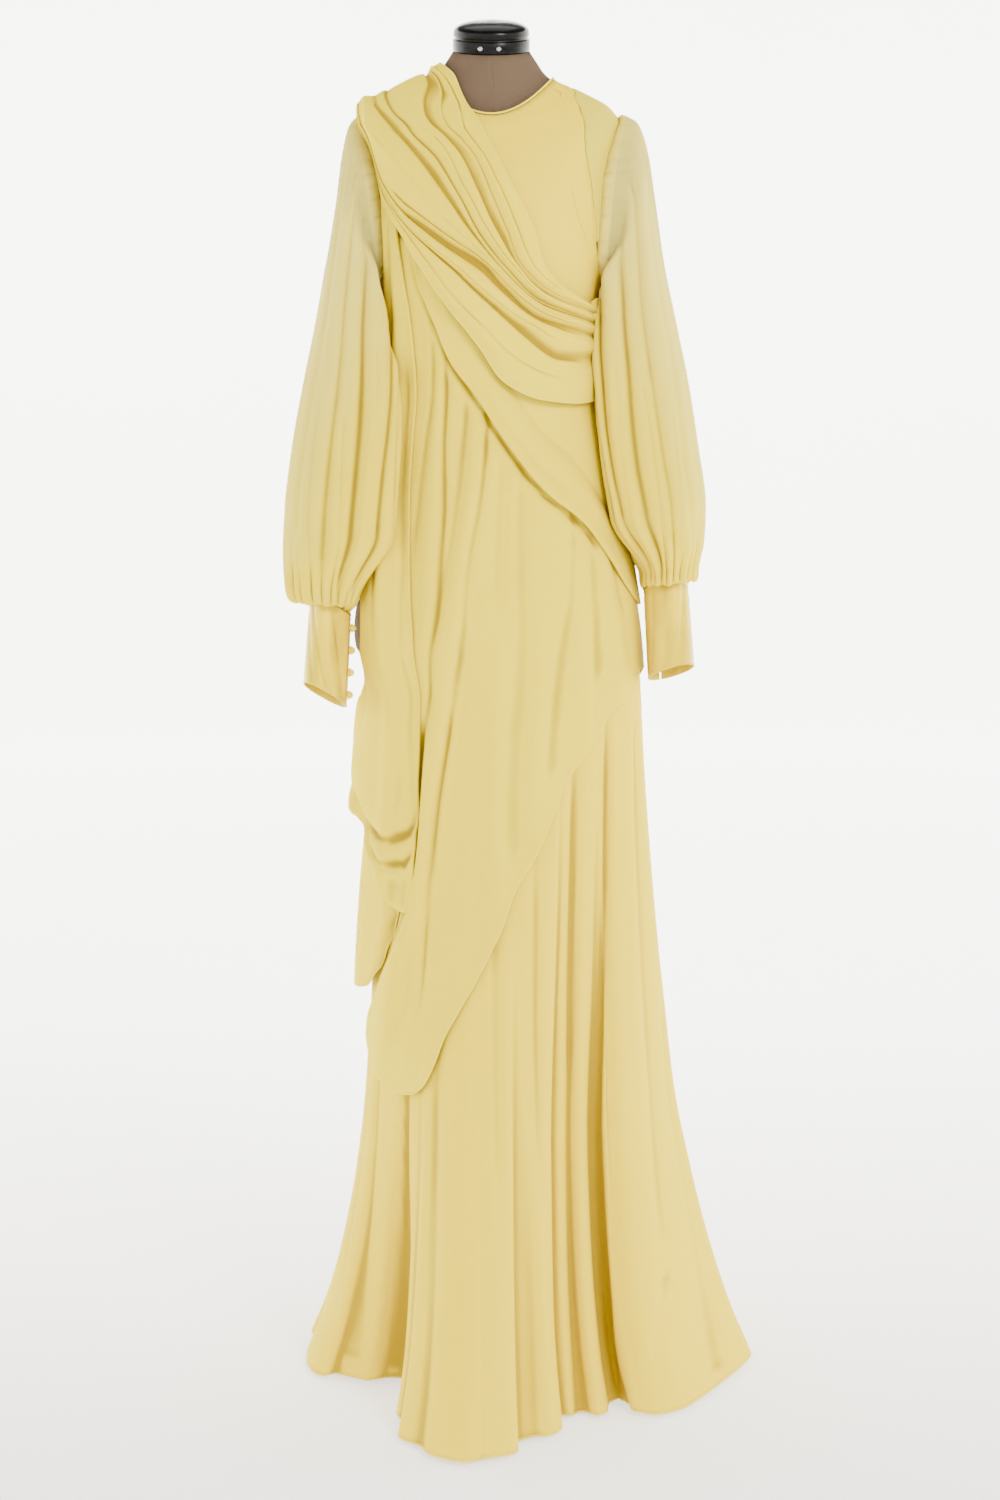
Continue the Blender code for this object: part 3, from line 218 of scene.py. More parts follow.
WRAP_TOP = [
    (-36.5, 1.420), (-33, 1.385), (-24, 1.352), (-13, 1.325), (0, 1.285), (10, 1.262),
    (26, 1.244), (40, 1.236), (56, 1.234), (66, 1.226), (74, 1.206), (82, 1.196), (89.4, 1.194),
]
# Sash: for each fold line the level and lift at the shoulder, then front stations
# (degrees, level, lift) from the neck side to the arm side
SASH = [
    ("neck_edge", 1.618, .004, [(-49, 1.620, .004), (-30, 1.608, .004), (-8, 1.588, .004),
     (9, 1.479, .004), (19, 1.418, .006), (26, 1.366, .011), (56, 1.329, .010), (67, 1.324, .008)]),
    ("pleat_1", 1.610, .008, [(-58, 1.611, .009), (-20, 1.589, .009), (-7, 1.552, .009),
     (3, 1.482, .010), (11, 1.423, .011), (20, 1.366, .018), (41, 1.337, .016), (68, 1.319, .012)]),
    ("crease_1", 1.603, .004, [(-66, 1.602, .005), (-15, 1.552, .006), (1, 1.440, .006),
     (6, 1.407, .007), (13, 1.366, .012), (29, 1.338, .012), (68, 1.314, .0085)]),
    ("pleat_2", 1.593, .009, [(-82, 1.592, .009), (-24, 1.549, .012), (-10, 1.467, .012),
     (-1, 1.413, .013), (9, 1.371, .019), (26, 1.335, .018), (69, 1.308, .012)]),
    ("crease_2", 1.575, .007, [(-82, 1.574, .007), (-44, 1.555, .009), (-29, 1.517, .011),
     (-16, 1.455, .012), (-5, 1.399, .013), (6, 1.362, .016), (24, 1.328, .013), (69, 1.302, .0085)]),
    ("roll_crest", 1.568, .015, [(-76, 1.566, .016), (-46, 1.518, .023), (-32, 1.463, .024),
     (-20, 1.424, .023), (-5, 1.384, .023), (10, 1.347, .023), (30, 1.317, .021), (70, 1.295, .0125)]),
    ("crease_3", 1.565, .013, [(-78, 1.560, .014), (-60, 1.537, .015), (-53, 1.483, .015),
     (-43, 1.447, .014), (-30, 1.419, .013), (-18, 1.393, .013), (-3, 1.366, .013), (5, 1.346, .014),
     (24, 1.310, .014), (70, 1.286, .0085)]),
    ("pleat_3", 1.563, .010, [(-79, 1.556, .011), (-61, 1.531, .012), (-54, 1.477, .013),
     (-44, 1.440, .015), (-30, 1.403, .020), (-17, 1.375, .021), (0, 1.340, .022), (18, 1.309, .022),
     (40, 1.285, .019), (71, 1.276, .0125)]),
    ("crease_4", 1.561, .008, [(-79, 1.554, .009), (-62, 1.526, .010), (-55, 1.471, .0115),
     (-44, 1.431, .0135), (-28, 1.388, .0145), (-16, 1.360, .015), (1, 1.323, .015),
     (16, 1.292, .015), (36, 1.266, .014), (72, 1.263, .009)]),
    ("band", 1.559, .0065, [(-80, 1.551, .007), (-62, 1.520, .008), (-55, 1.464, .011),
     (-43, 1.420, .0145), (-31, 1.376, .019), (-20, 1.340, .021), (-4, 1.297, .022),
     (10, 1.262, .022), (28, 1.239, .021), (48, 1.231, .018), (73, 1.240, .0125)]),
    ("low_edge", 1.557, .006, [(-80, 1.548, .006), (-62, 1.515, .0065), (-55.5, 1.456, .0105),
     (-43, 1.409, .0140), (-34, 1.374, .019), (-27, 1.348, .019), (-17, 1.314, .019),
     (-5, 1.276, .018), (7, 1.232, .017), (26, 1.211, .017), (46, 1.207, .015), (74, 1.216, .0105)]),
]
SASH_BACK_HIGH = [(-90, 1.618), (-104, 1.612), (-118, 1.602), (-132, 1.580), (-150, 1.535),
                  (-180, 1.455), (-220, 1.380), (-284, 1.322)]
SASH_BACK_LOW = [(-90, 1.557), (-101, 1.553), (-112, 1.535), (-121, 1.494), (-135, 1.430),
                 (-165, 1.345), (-205, 1.280), (-284, 1.212)]
# Sleeves: outer line (x, z), inner line (x, z), middle in y, half depth
SLEEVE_RIGHT = [
    (.1740, 1.5500, .1490, 1.3380, .000, .0600), (.1880, 1.5200, .1505, 1.3240, -.001, .0640),
    (.1985, 1.4600, .1510, 1.2950, -.003, .0680), (.2106, 1.3780, .1510, 1.2600, -.006, .0690),
    (.2259, 1.3050, .1540, 1.2200, -.009, .0700), (.2412, 1.2320, .1570, 1.1750, -.012, .0720),
    (.2529, 1.1580, .1640, 1.1200, -.015, .0740), (.2622, 1.0845, .1740, 1.0650, -.018, .0740),
    (.2600, 1.0400, .1800, 1.0300, -.020, .0690), (.2535, 1.0080, .1850, 1.0010, -.022, .0560),
    (.2520, .9925, .1845, .9860, -.024, .0440),
]
SLEEVE_LEFT = [
    (-.1720, 1.5420, -.1400, 1.3340, -.004, .0600), (-.1800, 1.5050, -.1390, 1.3200, -.008, .0640),
    (-.1895, 1.4450, -.1380, 1.2950, -.014, .0670), (-.2010, 1.3750, -.1370, 1.2600, -.022, .0680),
    (-.2130, 1.3050, -.1350, 1.2200, -.032, .0690), (-.2275, 1.2320, -.1350, 1.1750, -.042, .0700),
    (-.2405, 1.1580, -.1380, 1.1200, -.052, .0720), (-.2495, 1.0800, -.1410, 1.0600, -.060, .0720),
    (-.2515, 1.0250, -.1450, 1.0150, -.064, .0680), (-.2495, .9900, -.1520, .9800, -.066, .0570),
    (-.2400, .9690, -.1600, .9640, -.068, .0440),
]
# Cuffs: centre at the top and at the foot, half width, half depth, roll, tilt and slit angle
CUFF_RIGHT = ((.2150, -.0240, .9870), (.2215, -.0430, .8800), .0275, .0310, 15, 16, 246)
CUFF_LEFT = ((-.1960, -.0680, .9620), (-.2020, -.0900, .8560), .0275, .0310, 28, 16, 165)
BUTTON_SHARES = (.12, .37, .62, .87)

# Creases laid over the chart: stations (level, degrees), depth of the valley, its width, and how
# far beside it its soft ridge stands (minus is to the left); all but the degrees in metres.
FRONT_FOLDS = [
    ([(.56, -31.5), (.612, -30), (.673, -27), (.733, -24), (.806, -19.5), (.855, -17), (.903, -12.5),
      (.95, -10.5), (.997, -9.5), (1.044, -7.5), (1.091, -5), (1.139, -3), (1.181, -2), (1.25, -1)],
     .0044, .0058, -.013),
    ([(.45, -34), (.54, -32), (.612, -30), (.673, -27), (.733, -24), (.80, -20), (.86, -16.5)],
     .0046, .0046, -.011),
    ([(.77, -33), (.805, -31), (.879, -25), (.973, -20.5), (1.067, -20.8), (1.163, -23.3), (1.29, -24)],
     .0042, .0052, -.011),
    ([(.90, -23.5), (.973, -19), (1.043, -16), (1.091, -14.5), (1.16, -13), (1.24, -12)],
     .0022, .0060, .014),
    ([(.99, -31), (1.08, -34), (1.16, -33), (1.24, -31), (1.32, -32)], .0022, .0050, .010),
    ([(.982, 67), (1.016, 55), (1.060, 41), (1.098, 23), (1.146, 9), (1.208, -7), (1.258, -22),
      (1.294, -29), (1.35, -38), (1.41, -41)], .0024, .0040, -.009),
    ([(.49, -61), (.531, -54), (.584, -44), (.634, -37.5), (.695, -34.3), (.768, -33.5), (.84, -31)],
     .0064, .0062, .012),
    ([(.42, -52), (.47, -45), (.53, -39), (.59, -36)], .0022, .008, -.014),
    ([(.60, 7), (.675, 7), (.806, 9), (.926, 12.5), (1.021, 12.5), (1.20, 16)], .0030, .011, -.022),
    ([(.68, 19), (.734, 20), (.83, 23.5), (.902, 27), (.972, 33), (1.13, 40)], .0028, .009, -.020),
    ([(.50, -6), (.60, -4), (.72, -3), (.84, -2), (.98, 2), (1.20, 7)], .0026, .010, -.018),
    ([(.78, 38), (.88, 42), (1.10, 49)], .0022, .010, .016),
    ([(.86, 66), (.94, 62), (1.07, 56)], .0018, .009, -.014),
]
SKIRT_FOLDS = [
    ([(.0, 33.5), (.129, 35.5), (.247, 36), (.367, 36), (.488, 34), (.609, 33.5), (.80, 33)],
     .0050, .0050, -.012),
    ([(.0, 49.5), (.129, 55), (.305, 57.5), (.424, 55.5), (.544, 52.5), (.666, 50.5), (.86, 49)],
     .0046, .0045, .012),
    ([(.10, 70), (.235, 71.5), (.353, 73), (.476, 71), (.6, 69.5), (.723, 68.5), (.88, 70.5)],
     .0026, .006, -.012),
    ([(.0, 4.5), (.106, 4), (.215, 3), (.326, 1.5), (.44, 1), (.62, 1.5)], .0020, .006, .013),
    ([(.0, 28.5), (.144, 24), (.261, 21), (.377, 18.5), (.495, 16.5), (.70, 16)], .0024, .0055, -.012),
    ([(.02, -47), (.157, -47), (.262, -45.5), (.366, -42.5), (.46, -40)], .0052, .005, -.013),
    ([(.0, -29), (.117, -29.5), (.206, -29), (.307, -28), (.42, -27)], .0026, .006, .012),
    ([(.03, -57.5), (.15, -60), (.252, -62.5), (.365, -63.5), (.46, -64)], .0024, .006, -.012),
    ([(.0, -72), (.105, -74.5), (.192, -77), (.305, -77), (.42, -78)], .0022, .006, .012),
    ([(.02, -12), (.12, -13), (.26, -12), (.40, -10)], .0016, .007, -.012),
    ([(.04, 62), (.10, 66), (.16, 71)], .0024, .006, -.008),
    ([(.02, 78), (.12, 82), (.24, 84), (.50, 84)], .0018, .007, .012),
    ([(.02, 98), (.20, 97), (.52, 98)], .0022, .006, -.012),
    ([(.0, 112), (.45, 110), (.85, 108)], .0034, .0055, .012),
    ([(.0, 131), (.45, 130), (.90, 128)], .0036, .0055, -.012),
    ([(.0, 151), (.40, 150), (.80, 150)], .0030, .006, .012),
    ([(.0, 170), (.30, 169), (.66, 168)], .0024, .006, -.012),
    ([(.0, -97), (.25, -97), (.45, -96)], .0026, .006, .011),
    ([(.0, -112), (.25, -110), (.50, -108)], .0034, .0055, -.012),
    ([(.0, -131), (.30, -130), (.56, -130)], .0030, .006, .012),
    ([(.0, -150), (.30, -150), (.60, -151)], .0030, .006, -.012),
    ([(.0, -170), (.30, -169), (.60, -168)], .0022, .006, .012),
]
FALL_FOLDS = [
    ([(.86, -45), (.964, -48.5), (1.006, -49.5), (1.09, -54), (1.212, -60), (1.334, -57), (1.46, -54)],
     .0040, .0054, .012),
    ([(.74, -38), (.80, -38), (.90, -36), (1.00, -37), (1.10, -43), (1.28, -48)], .0022, .0046, -.010),
    ([(.750, -96), (.728, -82), (.704, -70), (.688, -61), (.680, -51), (.688, -41), (.720, -33),
      (.760, -29)], .0066, .0085, .016),
    ([(.716, -84), (.686, -67), (.665, -59), (.652, -50), (.654, -42), (.676, -35), (.720, -29)],
     .0046, .0065, .012),
    ([(.79, -78), (.83, -70), (.90, -63), (1.0, -62)], .0018, .009, -.016),
]
BACK_FOLDS = [
    ([(.545, -57), (.575, -53), (.61, -53), (.64, -58)], .0036, .0060, -.012),
    ([(.488, -62), (.529, -60), (.568, -54), (.602, -49)], .0044, .0060, -.011),
    ([(.50, -86), (.56, -83), (.63, -82)], .0026, .006, .012),
    ([(.49, -97), (.62, -96), (.80, -98)], .0028, .006, -.012),
    ([(.50, -118), (.75, -121), (1.02, -123)], .0034, .006, .013),
    ([(.52, -141), (.80, -143), (1.05, -145)], .0040, .006, -.014),
    ([(.60, -165), (.85, -166), (1.10, -168)], .0036, .006, .014),
    ([(.68, -188), (.90, -190), (1.08, -191)], .0036, .006, -.014),
    ([(.74, -211), (.92, -212), (1.05, -213)], .0032, .006, .013),
    ([(.84, -234), (.95, -236), (1.04, -237)], .0026, .006, -.011),
]
WRAP_FOLDS = [
    ([(1.30, -33), (1.34, -34), (1.40, -37)], .0014, .004, .007),
]
BODICE_FOLDS = [
    ([(1.391, 56.5), (1.434, 44.5), (1.475, 39)], .0012, .0018, -.004),
    ([(1.380, 61), (1.434, 56.0), (1.48, 50.5), (1.52, 45.2)], .0012, .0018, -.004),
    ([(1.550, 62), (1.575, 68), (1.597, 78)], .0012, .003, -.006),
    ([(1.560, 50), (1.580, 56), (1.598, 64)], .0010, .003, -.006),
]
BACK_DARTS = [
    ([(1.235, 140), (1.30, 141), (1.40, 143)], .0016, .003, .006),
]
# Soft swells of the overlays: stations (level, degrees) of the ridge, its rise by level, and its
# widths to the left and to the right in metres
OVERLAY_SWELLS = [
    ([(.30, -30), (.90, -24), (1.02, -25), (1.12, -26), (1.25, -25)],
     [(.3, 0), (.80, .002), (.95, .006), (1.12, .007), (1.20, .002), (1.25, 0)], .018, .014),
    ([(.30, -60), (.50, -50), (.60, -34), (.68, -29), (.774, -23), (.872, -18), (.944, -13),
      (1.03, -9), (1.124, -6), (1.25, -4)],
     [(.3, 0), (.42, .004), (.60, .010), (.80, .012), (1.00, .009), (1.12, .006), (1.18, .001),
      (1.25, 0)], .026, .012),
    *[([(.3, at), (1.3, at - 4)], [(.3, tall), (.9, tall), (1.05, .001), (1.2, 0)], .014, .014)
      for at, tall in ((2, .004), (19, .003), (38, .004), (57, .003))],
]
FALL_SWELLS = [([(.6, -52), (.9, -45), (1.2, -52), (1.5, -54)],
                [(.6, .008), (1.0, .008), (1.20, .006), (1.36, .001), (1.5, 0)], .016, .010)]
BACK_SWELLS = [([(.3, at), (1.4, at - 3)], [(.3, tall * 1.2), (.8, tall), (1.05, tall * .3), (1.2, 0)],
                .015, .013)
               for at, tall in ((-130, .011), (-153, .008), (-176, .012), (-199, .008), (-222, .010),
                                (-245, .006))]
# Lift of the side fall by level, near its inner edge, which leaves out the second and third
# levels, and where it swings out at the side
FALL_LEVELS = [.66, .72, .80, .90, 1.10, 1.30, 1.40, 1.45, 1.492]
FALL_INNER = [.018, .0175, .0155, .0115, .0085, .0058, FALL_TOP_LIFT]
FALL_SWING = [.030, .031, .026, .018, .0175, .0125, .0085, .0058, FALL_TOP_LIFT]
# Lift of the back overlay's lobe at the left by level
LOBE_LEVELS = [.40, .50, .60, .72, .80, 1.2]
LOBE_LIFTS = [.016, .017, .014, .004, .001, 0]
# Knife pleats of the sash: stations (place, fold line), height in metres, and the widths of the
# steep and the gentle side in fold lines. Place runs from -1 at the back, over the shoulder at 0,
# to 1 at the right side.
SASH_PLEATS = [
    ([(-.8, 1.1), (0, 1.1), (.3, 1.2), (.6, 1.2), (.95, 1.2)], .0026, .07, .65),
    ([(-.9, 1.8), (0, 1.85), (.4, 1.8), (.9, 1.8)], .0014, .05, .40),
    ([(-.9, 2.4), (0, 2.5), (.4, 2.55), (.9, 2.6)], .0026, .06, .60),
    ([(.25, 3.1), (.5, 3.2), (.98, 3.2)], .0020, .05, .45),
    ([(-.9, 3.7), (0, 3.75), (.3, 3.8), (.8, 3.8)], .0022, .05, .50),
    ([(.08, 4.35), (.4, 4.4), (.9, 4.3)], .0028, .06, .60),
    ([(.12, 5.15), (.4, 5.0), (.7, 5.1), (.95, 5.2)], .0018, .06, .60),
    ([(.30, 5.8), (.55, 5.6), (.80, 5.5)], .0022, .05, .45),
    ([(-.9, 6.3), (0, 6.4), (.45, 6.5), (.9, 6.5)], .0028, .06, .65),
    ([(.20, 7.1), (.4, 7.3), (.9, 7.4)], .0016, .05, .45),
    ([(.28, 7.9), (.5, 8.05), (.75, 8.2), (.9, 8.3)], .0024, .05, .60),
    ([(-.9, 8.5), (.1, 8.6), (.5, 8.9), (.9, 9.0)], .0018, .06, .65),
]
# Pleats fanned out above the sash's gathered end: degrees, level at the top and the foot, lean
GATHER_PLEATS = [(60.0, 1.3310, 1.3180, 4.0), (62.2, 1.3330, 1.3170, 4.2), (64.4, 1.3350, 1.3165, 4.0),
                 (66.6, 1.3360, 1.3160, 3.4)]
# Rolled bands at the same end: degrees from and to, level, rise and radius
GATHER_BANDS = [(61.0, 73.0, 1.3150, .0020, .0034), (63.0, 74.0, 1.3040, -.0010, .0030),
                (64.0, 74.5, 1.2960, -.0020, .0024)]
# Long folds of the sleeves: degrees round at the armhole and at the cuff, depth, width and how
# far beside it the ridge stands in degrees, and the shares of the length where it starts and ends
FOLDS_RIGHT = [
    (166, 160, .0062, 4.5, 11, .01, .99), (150, 148, .0030, 3, -6, .10, .99),
    (136, 134, .0054, 4.5, -10, .01, .99), (122, 124, .0022, 2.6, 6, .35, .99),
    (110, 112, .0048, 5, 10, .01, .99), (94, 102, .0018, 3, -7, .45, .99),
    (80, 90, .0040, 5.5, -13, .01, .97), (64, 76, .0016, 3, 8, .55, .99),
    (46, 60, .0022, 6, 14, .10, .90), (18, 38, .0012, 7, -16, .30, .96),
    (-18, -12, .0022, 6, 14, .04, .95), (-52, -44, .0036, 5, -12, .02, .97),
    (-84, -78, .0030, 4, 10, .06, .98), (-116, -108, .0044, 4, -11, .02, .95),
    (-146, -136, .0046, 4.5, 11, .03, .98), (184, 184, .0040, 4.5, -10, .05, .96),
]
FOLDS_LEFT = [
    (162, 158, .0062, 4.5, 11, .01, .99), (146, 146, .0026, 3, -6, .20, .99),
    (131, 132, .0052, 4.5, -10, .01, .99), (117, 121, .0020, 2.6, 6, .30, .99),
    (104, 109, .0050, 5, 11, .01, .99), (90, 99, .0018, 3, -7, .50, .99),
    (73, 86, .0040, 5.5, -13, .01, .97), (57, 70, .0018, 3, 8, .50, .99),
    (37, 52, .0024, 6, 14, .06, .88), (10, 30, .0014, 7, -16, .25, .95),
    (-22, -16, .0022, 6, 14, .04, .95), (-56, -48, .0036, 5, -12, .02, .97),
    (-88, -80, .0030, 4, 10, .06, .98), (-120, -112, .0042, 4, -11, .02, .95),
    (-148, -138, .0046, 4.5, 11, .03, .98), (182, 182, .0040, 4.5, -10, .05, .96),
]
# Gathers of the sleeves, close to the cuff, fanned out above it and at the head: height in metres,
# half the number round the sleeve, and how far, how often and from where their spacing wanders
SLEEVE_GATHERS = [(.0046, 13, .9, 3, 0), (.0028, 7.5, 1.6, 2, 1), (.0022, 14, 1.1, 5, 0)]
# Slanting pulls in the cuffs: degrees round at the top and at the foot, depth, width
PULLS_RIGHT = [(40, 75, -.0014, 9), (75, 112, -.0012, 10), (110, 60, .0010, 12), (130, 150, -.0011, 8),
               (320, 350, -.0010, 9)]
PULLS_LEFT = [(30, 95, -.0019, 9), (60, 125, .0015, 9), (10, 60, -.0014, 10), (95, 150, -.0015, 9),
              (310, 350, -.0010, 9)]
# Studio lights: name, place, size, power in watts and colour
LIGHTS = [
    ("key from the right", (1.9, -3.4, 3.1), 1.3, 182, "#FFFBF4"),
    ("fill from the left", (-3.2, -2.6, 1.6), 2.6, 15, "#FFFDF8"),
    ("light from above", (0, .6, 4.2), 2.4, 44, "#FFFFFF"),
]
AMBIENT = .30
LIT_POINT = (0, 0, .9)
# Camera: where it stands, where it looks, and its lens and square sensor in millimetres
VIEW_FROM = (.0106, -3.30, 1.15)
VIEW_TO = (.0106, 0, .779)
VIEW_LENS = 42.43
VIEW_SENSOR = 24
CREPE_PITCH = .0011      # crepe yarns as drawn
LINEN_PITCH = .0030      # two linen yarns as drawn
# Reach of a fold in metres and the depth that counts as full, for a fine and a broad look of the painted
# shade in folds
FOLD_REACHES = ((.005, .0010), (.015, .0050))
# Reach of the ambient occlusion whose painted shade deepens the chiffon's colour near other surfaces
NEAR_SHADE = .022        # how near another fold must be to deepen the colour
PAPER_GLOW = 4.6         # the paper behind the gown is lit from behind like a light table


def eased(xs, ys, at):
    """Smooth line through the rows that never overshoots them: cubic pieces whose slopes are
    the weighted harmonic mean of the two neighbouring slopes, or zero where those change sign.
    A row may be a number or a whole array."""
    xs = np.asarray(xs, float)
    ys = np.asarray(ys, float)
    at = np.clip(np.asarray(at, float), xs[0], xs[-1])
    more = (1,) * (ys.ndim - 1)
    step = np.diff(xs).reshape(-1, *more)
    rise = np.diff(ys, axis=0) / step
    slope = np.zeros_like(ys)
    same = rise[:-1] * rise[1:] > 0
    first = np.where(same, rise[:-1], 1)
    second = np.where(same, rise[1:], 1)
    wide = 2 * step[1:] + step[:-1]
    tall = step[1:] + 2 * step[:-1]
    slope[1:-1] = np.where(same, (wide + tall) / (wide / first + tall / second), 0)
    slope[0] = rise[0]
    slope[-1] = rise[-1]
    k = np.clip(np.searchsorted(xs, at, side="right") - 1, 0, len(xs) - 2)
    t = ((at - xs[k]) / np.diff(xs)[k]).reshape(*at.shape, *more)
    return ((2 * t**3 - 3 * t**2 + 1) * ys[k] + (t**3 - 2 * t**2 + t) * step[k] * slope[k]
            + (3 * t**2 - 2 * t**3) * ys[k + 1] + (t**3 - t**2) * step[k] * slope[k + 1])


def soft(x):
    """S-shaped step from 0 to 1: 3x squared less 2x cubed, held at its ends."""
    x = np.clip(x, 0, 1)
    return x * x * (3 - 2 * x)


def covered(points):
    """Length from the first of a row of points to each of them: the sum of the legs between."""
    leg = np.linalg.norm(np.diff(points, axis=0), axis=1)
    return np.concatenate([[0], np.cumsum(leg)])


def along(points, share):
    """Points at given shares of the length of a smooth line through the rows."""
    pts = np.asarray(points, float)
    scale = np.ones(pts.shape[1])
    scale[0] = LINE_STEP
    dist = covered(pts * scale)
    return eased(dist / dist[-1], pts, share)


def ring(table, angle, level):
    """Point of a ring table: half width times sine, minus depth times cosine, and the level
    less the dip times cosine squared and the lean times cosine."""
    rows = np.asarray(table, float)
    angle, level = np.broadcast_arrays(np.asarray(angle, float), np.asarray(level, float))
    left, right, front, back, dip_front, dip_back, *lean = [
        eased(rows[:, 0], column, level) for column in rows.T[1:]]
    sine = np.sin(angle)
    cosine = np.cos(angle)
    x = np.where(sine > 0, right, left) * sine
    y = -np.where(cosine > 0, front, back) * cosine
    z = level - np.where(cosine > 0, dip_front, dip_back) * cosine**2 - sum(lean) * cosine
    return np.stack([x, y, z], -1)


def outward(angle, level):
    """Outward direction of the gown body: the cross product of its two chart directions."""
    across = ring(BODY, angle + TINY, level) - ring(BODY, angle - TINY, level)
    up = (ring(BODY, angle, np.minimum(level + TINY, BODY[-1][0]))
          - ring(BODY, angle, np.maximum(level - TINY, 0)))
    away = np.cross(across, up)
    return away / np.linalg.norm(away, axis=-1, keepdims=True)


def fold_shift(angle, level):
    """How far the skirt's folds move a point: the hem's own shift there, times how far the
    point lies below the fold's start, to the power FOLD_START."""
    rows = np.asarray(HEM, float)
    deg = (np.degrees(angle) + 180) % 360 - 180
    stations = np.concatenate([rows[-2:, 0] - 360, rows[:, 0], rows[:2, 0] + 360])
    plain = ring(BODY, np.radians(rows[:, 0]), np.zeros(len(rows)))
    columns = []
    for k in (0, 1):
        shift = rows[:, k + 1] - plain[:, k]
        shift = np.concatenate([shift[-2:], shift, shift[:2]])
        columns.append(eased(stations, shift, deg))
    start = np.concatenate([rows[-2:, 3], rows[:, 3], rows[:2, 3]])
    begin = eased(stations, start, deg)
    grow = np.clip((begin - level) / begin, 0, 1) ** FOLD_START
    return np.stack([columns[0] * grow, columns[1] * grow, np.zeros_like(grow)], -1)


def cloth(deg, level, lift):
    """Point of the garment: chart point, folds of the skirt, and the layer's lift outwards."""
    angle = np.radians(np.asarray(deg, float))
    level = np.asarray(level, float)
    base = ring(BODY, angle, np.maximum(level, 0)) + fold_shift(angle, level)
    spot = base + outward(angle, level) * np.asarray(lift, float)[..., None]
    spot[..., 2] += HEM_LIFT * np.clip(1 - level / 0.2, 0, 1)
    return spot


def patch(top, foot, left, right, columns, rows):
    """Chart grid between four edge lines, blended from them: the two lines across, plus the
    two lines down, less the plane through the corners. Rows may be their places, 0 to 1."""
    u = np.linspace(0, 1, columns + 1)
    v = np.linspace(0, 1, rows + 1) if np.isscalar(rows) else rows
    t, f = along(top, u), along(foot, u)
    w, e = along(left, v), along(right, v)
    uu, vv = u[None, :, None], v[:, None, None]
    return ((1 - vv) * t[None] + vv * f[None] + (1 - uu) * w[:, None] + uu * e[:, None]
            - (1 - uu) * (1 - vv) * t[0] - uu * (1 - vv) * t[-1]
            - (1 - uu) * vv * f[0] - uu * vv * f[-1])


def swollen(lift, deg, level, table):
    """Lift raised by soft ridges: each its rise by level times a bell across its line."""
    for line, rise, width_left, width_right in table:
        off = (deg - eased(*np.transpose(line), level)) * DEGREE_STEP
        tall = eased(*np.transpose(rise), level)
        lift = lift + tall * np.exp(-(off / np.where(off < 0, width_left, width_right)) ** 2)
    return lift


def from_line(deg, level, line):
    """How far chart points lie from a smooth line through the rows, minus on its left, and the
    share of its length where each is nearest: the least distance to the line's short legs."""
    rows = np.asarray(line, float)[:, ::-1]
    spots = along(rows, np.linspace(0, 1, LINE_LEGS + 1)) * (DEGREE_STEP, 1)
    x = deg * DEGREE_STEP
    best = np.full(x.shape, 9.0)
    side = np.ones(x.shape)
    share = np.zeros(x.shape)
    for k, (start, end) in enumerate(zip(spots[:-1], spots[1:])):
        leg = end - start
        part = np.clip(((x - start[0]) * leg[0] + (level - start[1]) * leg[1]) / (leg @ leg), 0, 1)
        right = x - start[0] - part * leg[0]
        up = level - start[1] - part * leg[1]
        far = np.hypot(right, up)
        near = far < best
        best = np.where(near, far, best)
        side = np.where(near, np.where(leg[1] * right < leg[0] * up, -1, 1), side)
        share = np.where(near, (k + part) / LINE_LEGS, share)
    return best * side, share


def creases(deg, level, table):
    """Sum of listed creases: each a valley across its line, a bell, with a wider and lower bell beside it as
    its ridge, and both fade in and out at the ends of the line."""
    total = np.zeros(deg.shape)
    for line, depth, width, beside in table:
        off, share = from_line(deg, level, line)
        fade = soft((1 - share) / .14) * (soft(share / .22) if min(line)[0] > .03 else 1)
        ridge = np.exp(-((off - beside) / (.8 * abs(beside))) ** 2)
        total += depth * fade * (RIDGE_SHARE * ridge - np.exp(-(off / width) ** 2))
    return total


def turned_under(grid, radius, back):
    """Chart grid with its last row curled under: half a circle below it, then a strip that runs
    back beneath."""
    ahead = (grid[-1] - grid[-5]) * (DEGREE_STEP, 1, 0)
    ahead /= np.linalg.norm(ahead, axis=-1, keepdims=True)
    turn = np.linspace(.35, np.pi, 8)
    out = np.concatenate([np.sin(turn) * radius, -back * np.array([.3, .6, 1])])
    drop = np.concatenate([radius * (1 - np.cos(turn)), np.full(3, 2 * radius)])
    extra = grid[-1] + ahead / (DEGREE_STEP, 1, 1) * out[:, None, None]
    extra[..., 2] -= drop[:, None]
    return np.concatenate([grid, extra])


def lifted(grid, lift_of, folds):
    """Chart grid with its lift as a third number: the layer's own lift and its creases."""
    deg, level = grid[..., 0], grid[..., 1]
    lift = lift_of(deg, level) + creases(deg, level, folds)
    return np.concatenate([grid, lift[..., None]], -1)


def laid(chart):
    """Cloth points of a chart grid of degrees, level and lift."""
    return cloth(chart[..., 0], chart[..., 1], chart[..., 2])


def seated(lift, top, deg, level):
    """Lift that comes down to the gown at the sewn top edge."""
    line = np.asarray(sorted(top), float)
    below = np.clip((eased(line[:, 0], line[:, 1], deg) - level) / .035, 0, 1)
    return SEWN_LIFT + (lift - SEWN_LIFT) * below * (2 - below)


def overlay_lift(deg, level):
    """Lift of the front overlay: a little less above 1.30, plus its swells, and seated at its
    sewn top."""
    lift = OVERLAY_LIFT - .0012 * np.clip((level - 1.30) / .06, 0, 1)
    return seated(swollen(lift, deg, level, OVERLAY_SWELLS), OVER_TOP[:-1], deg, level)


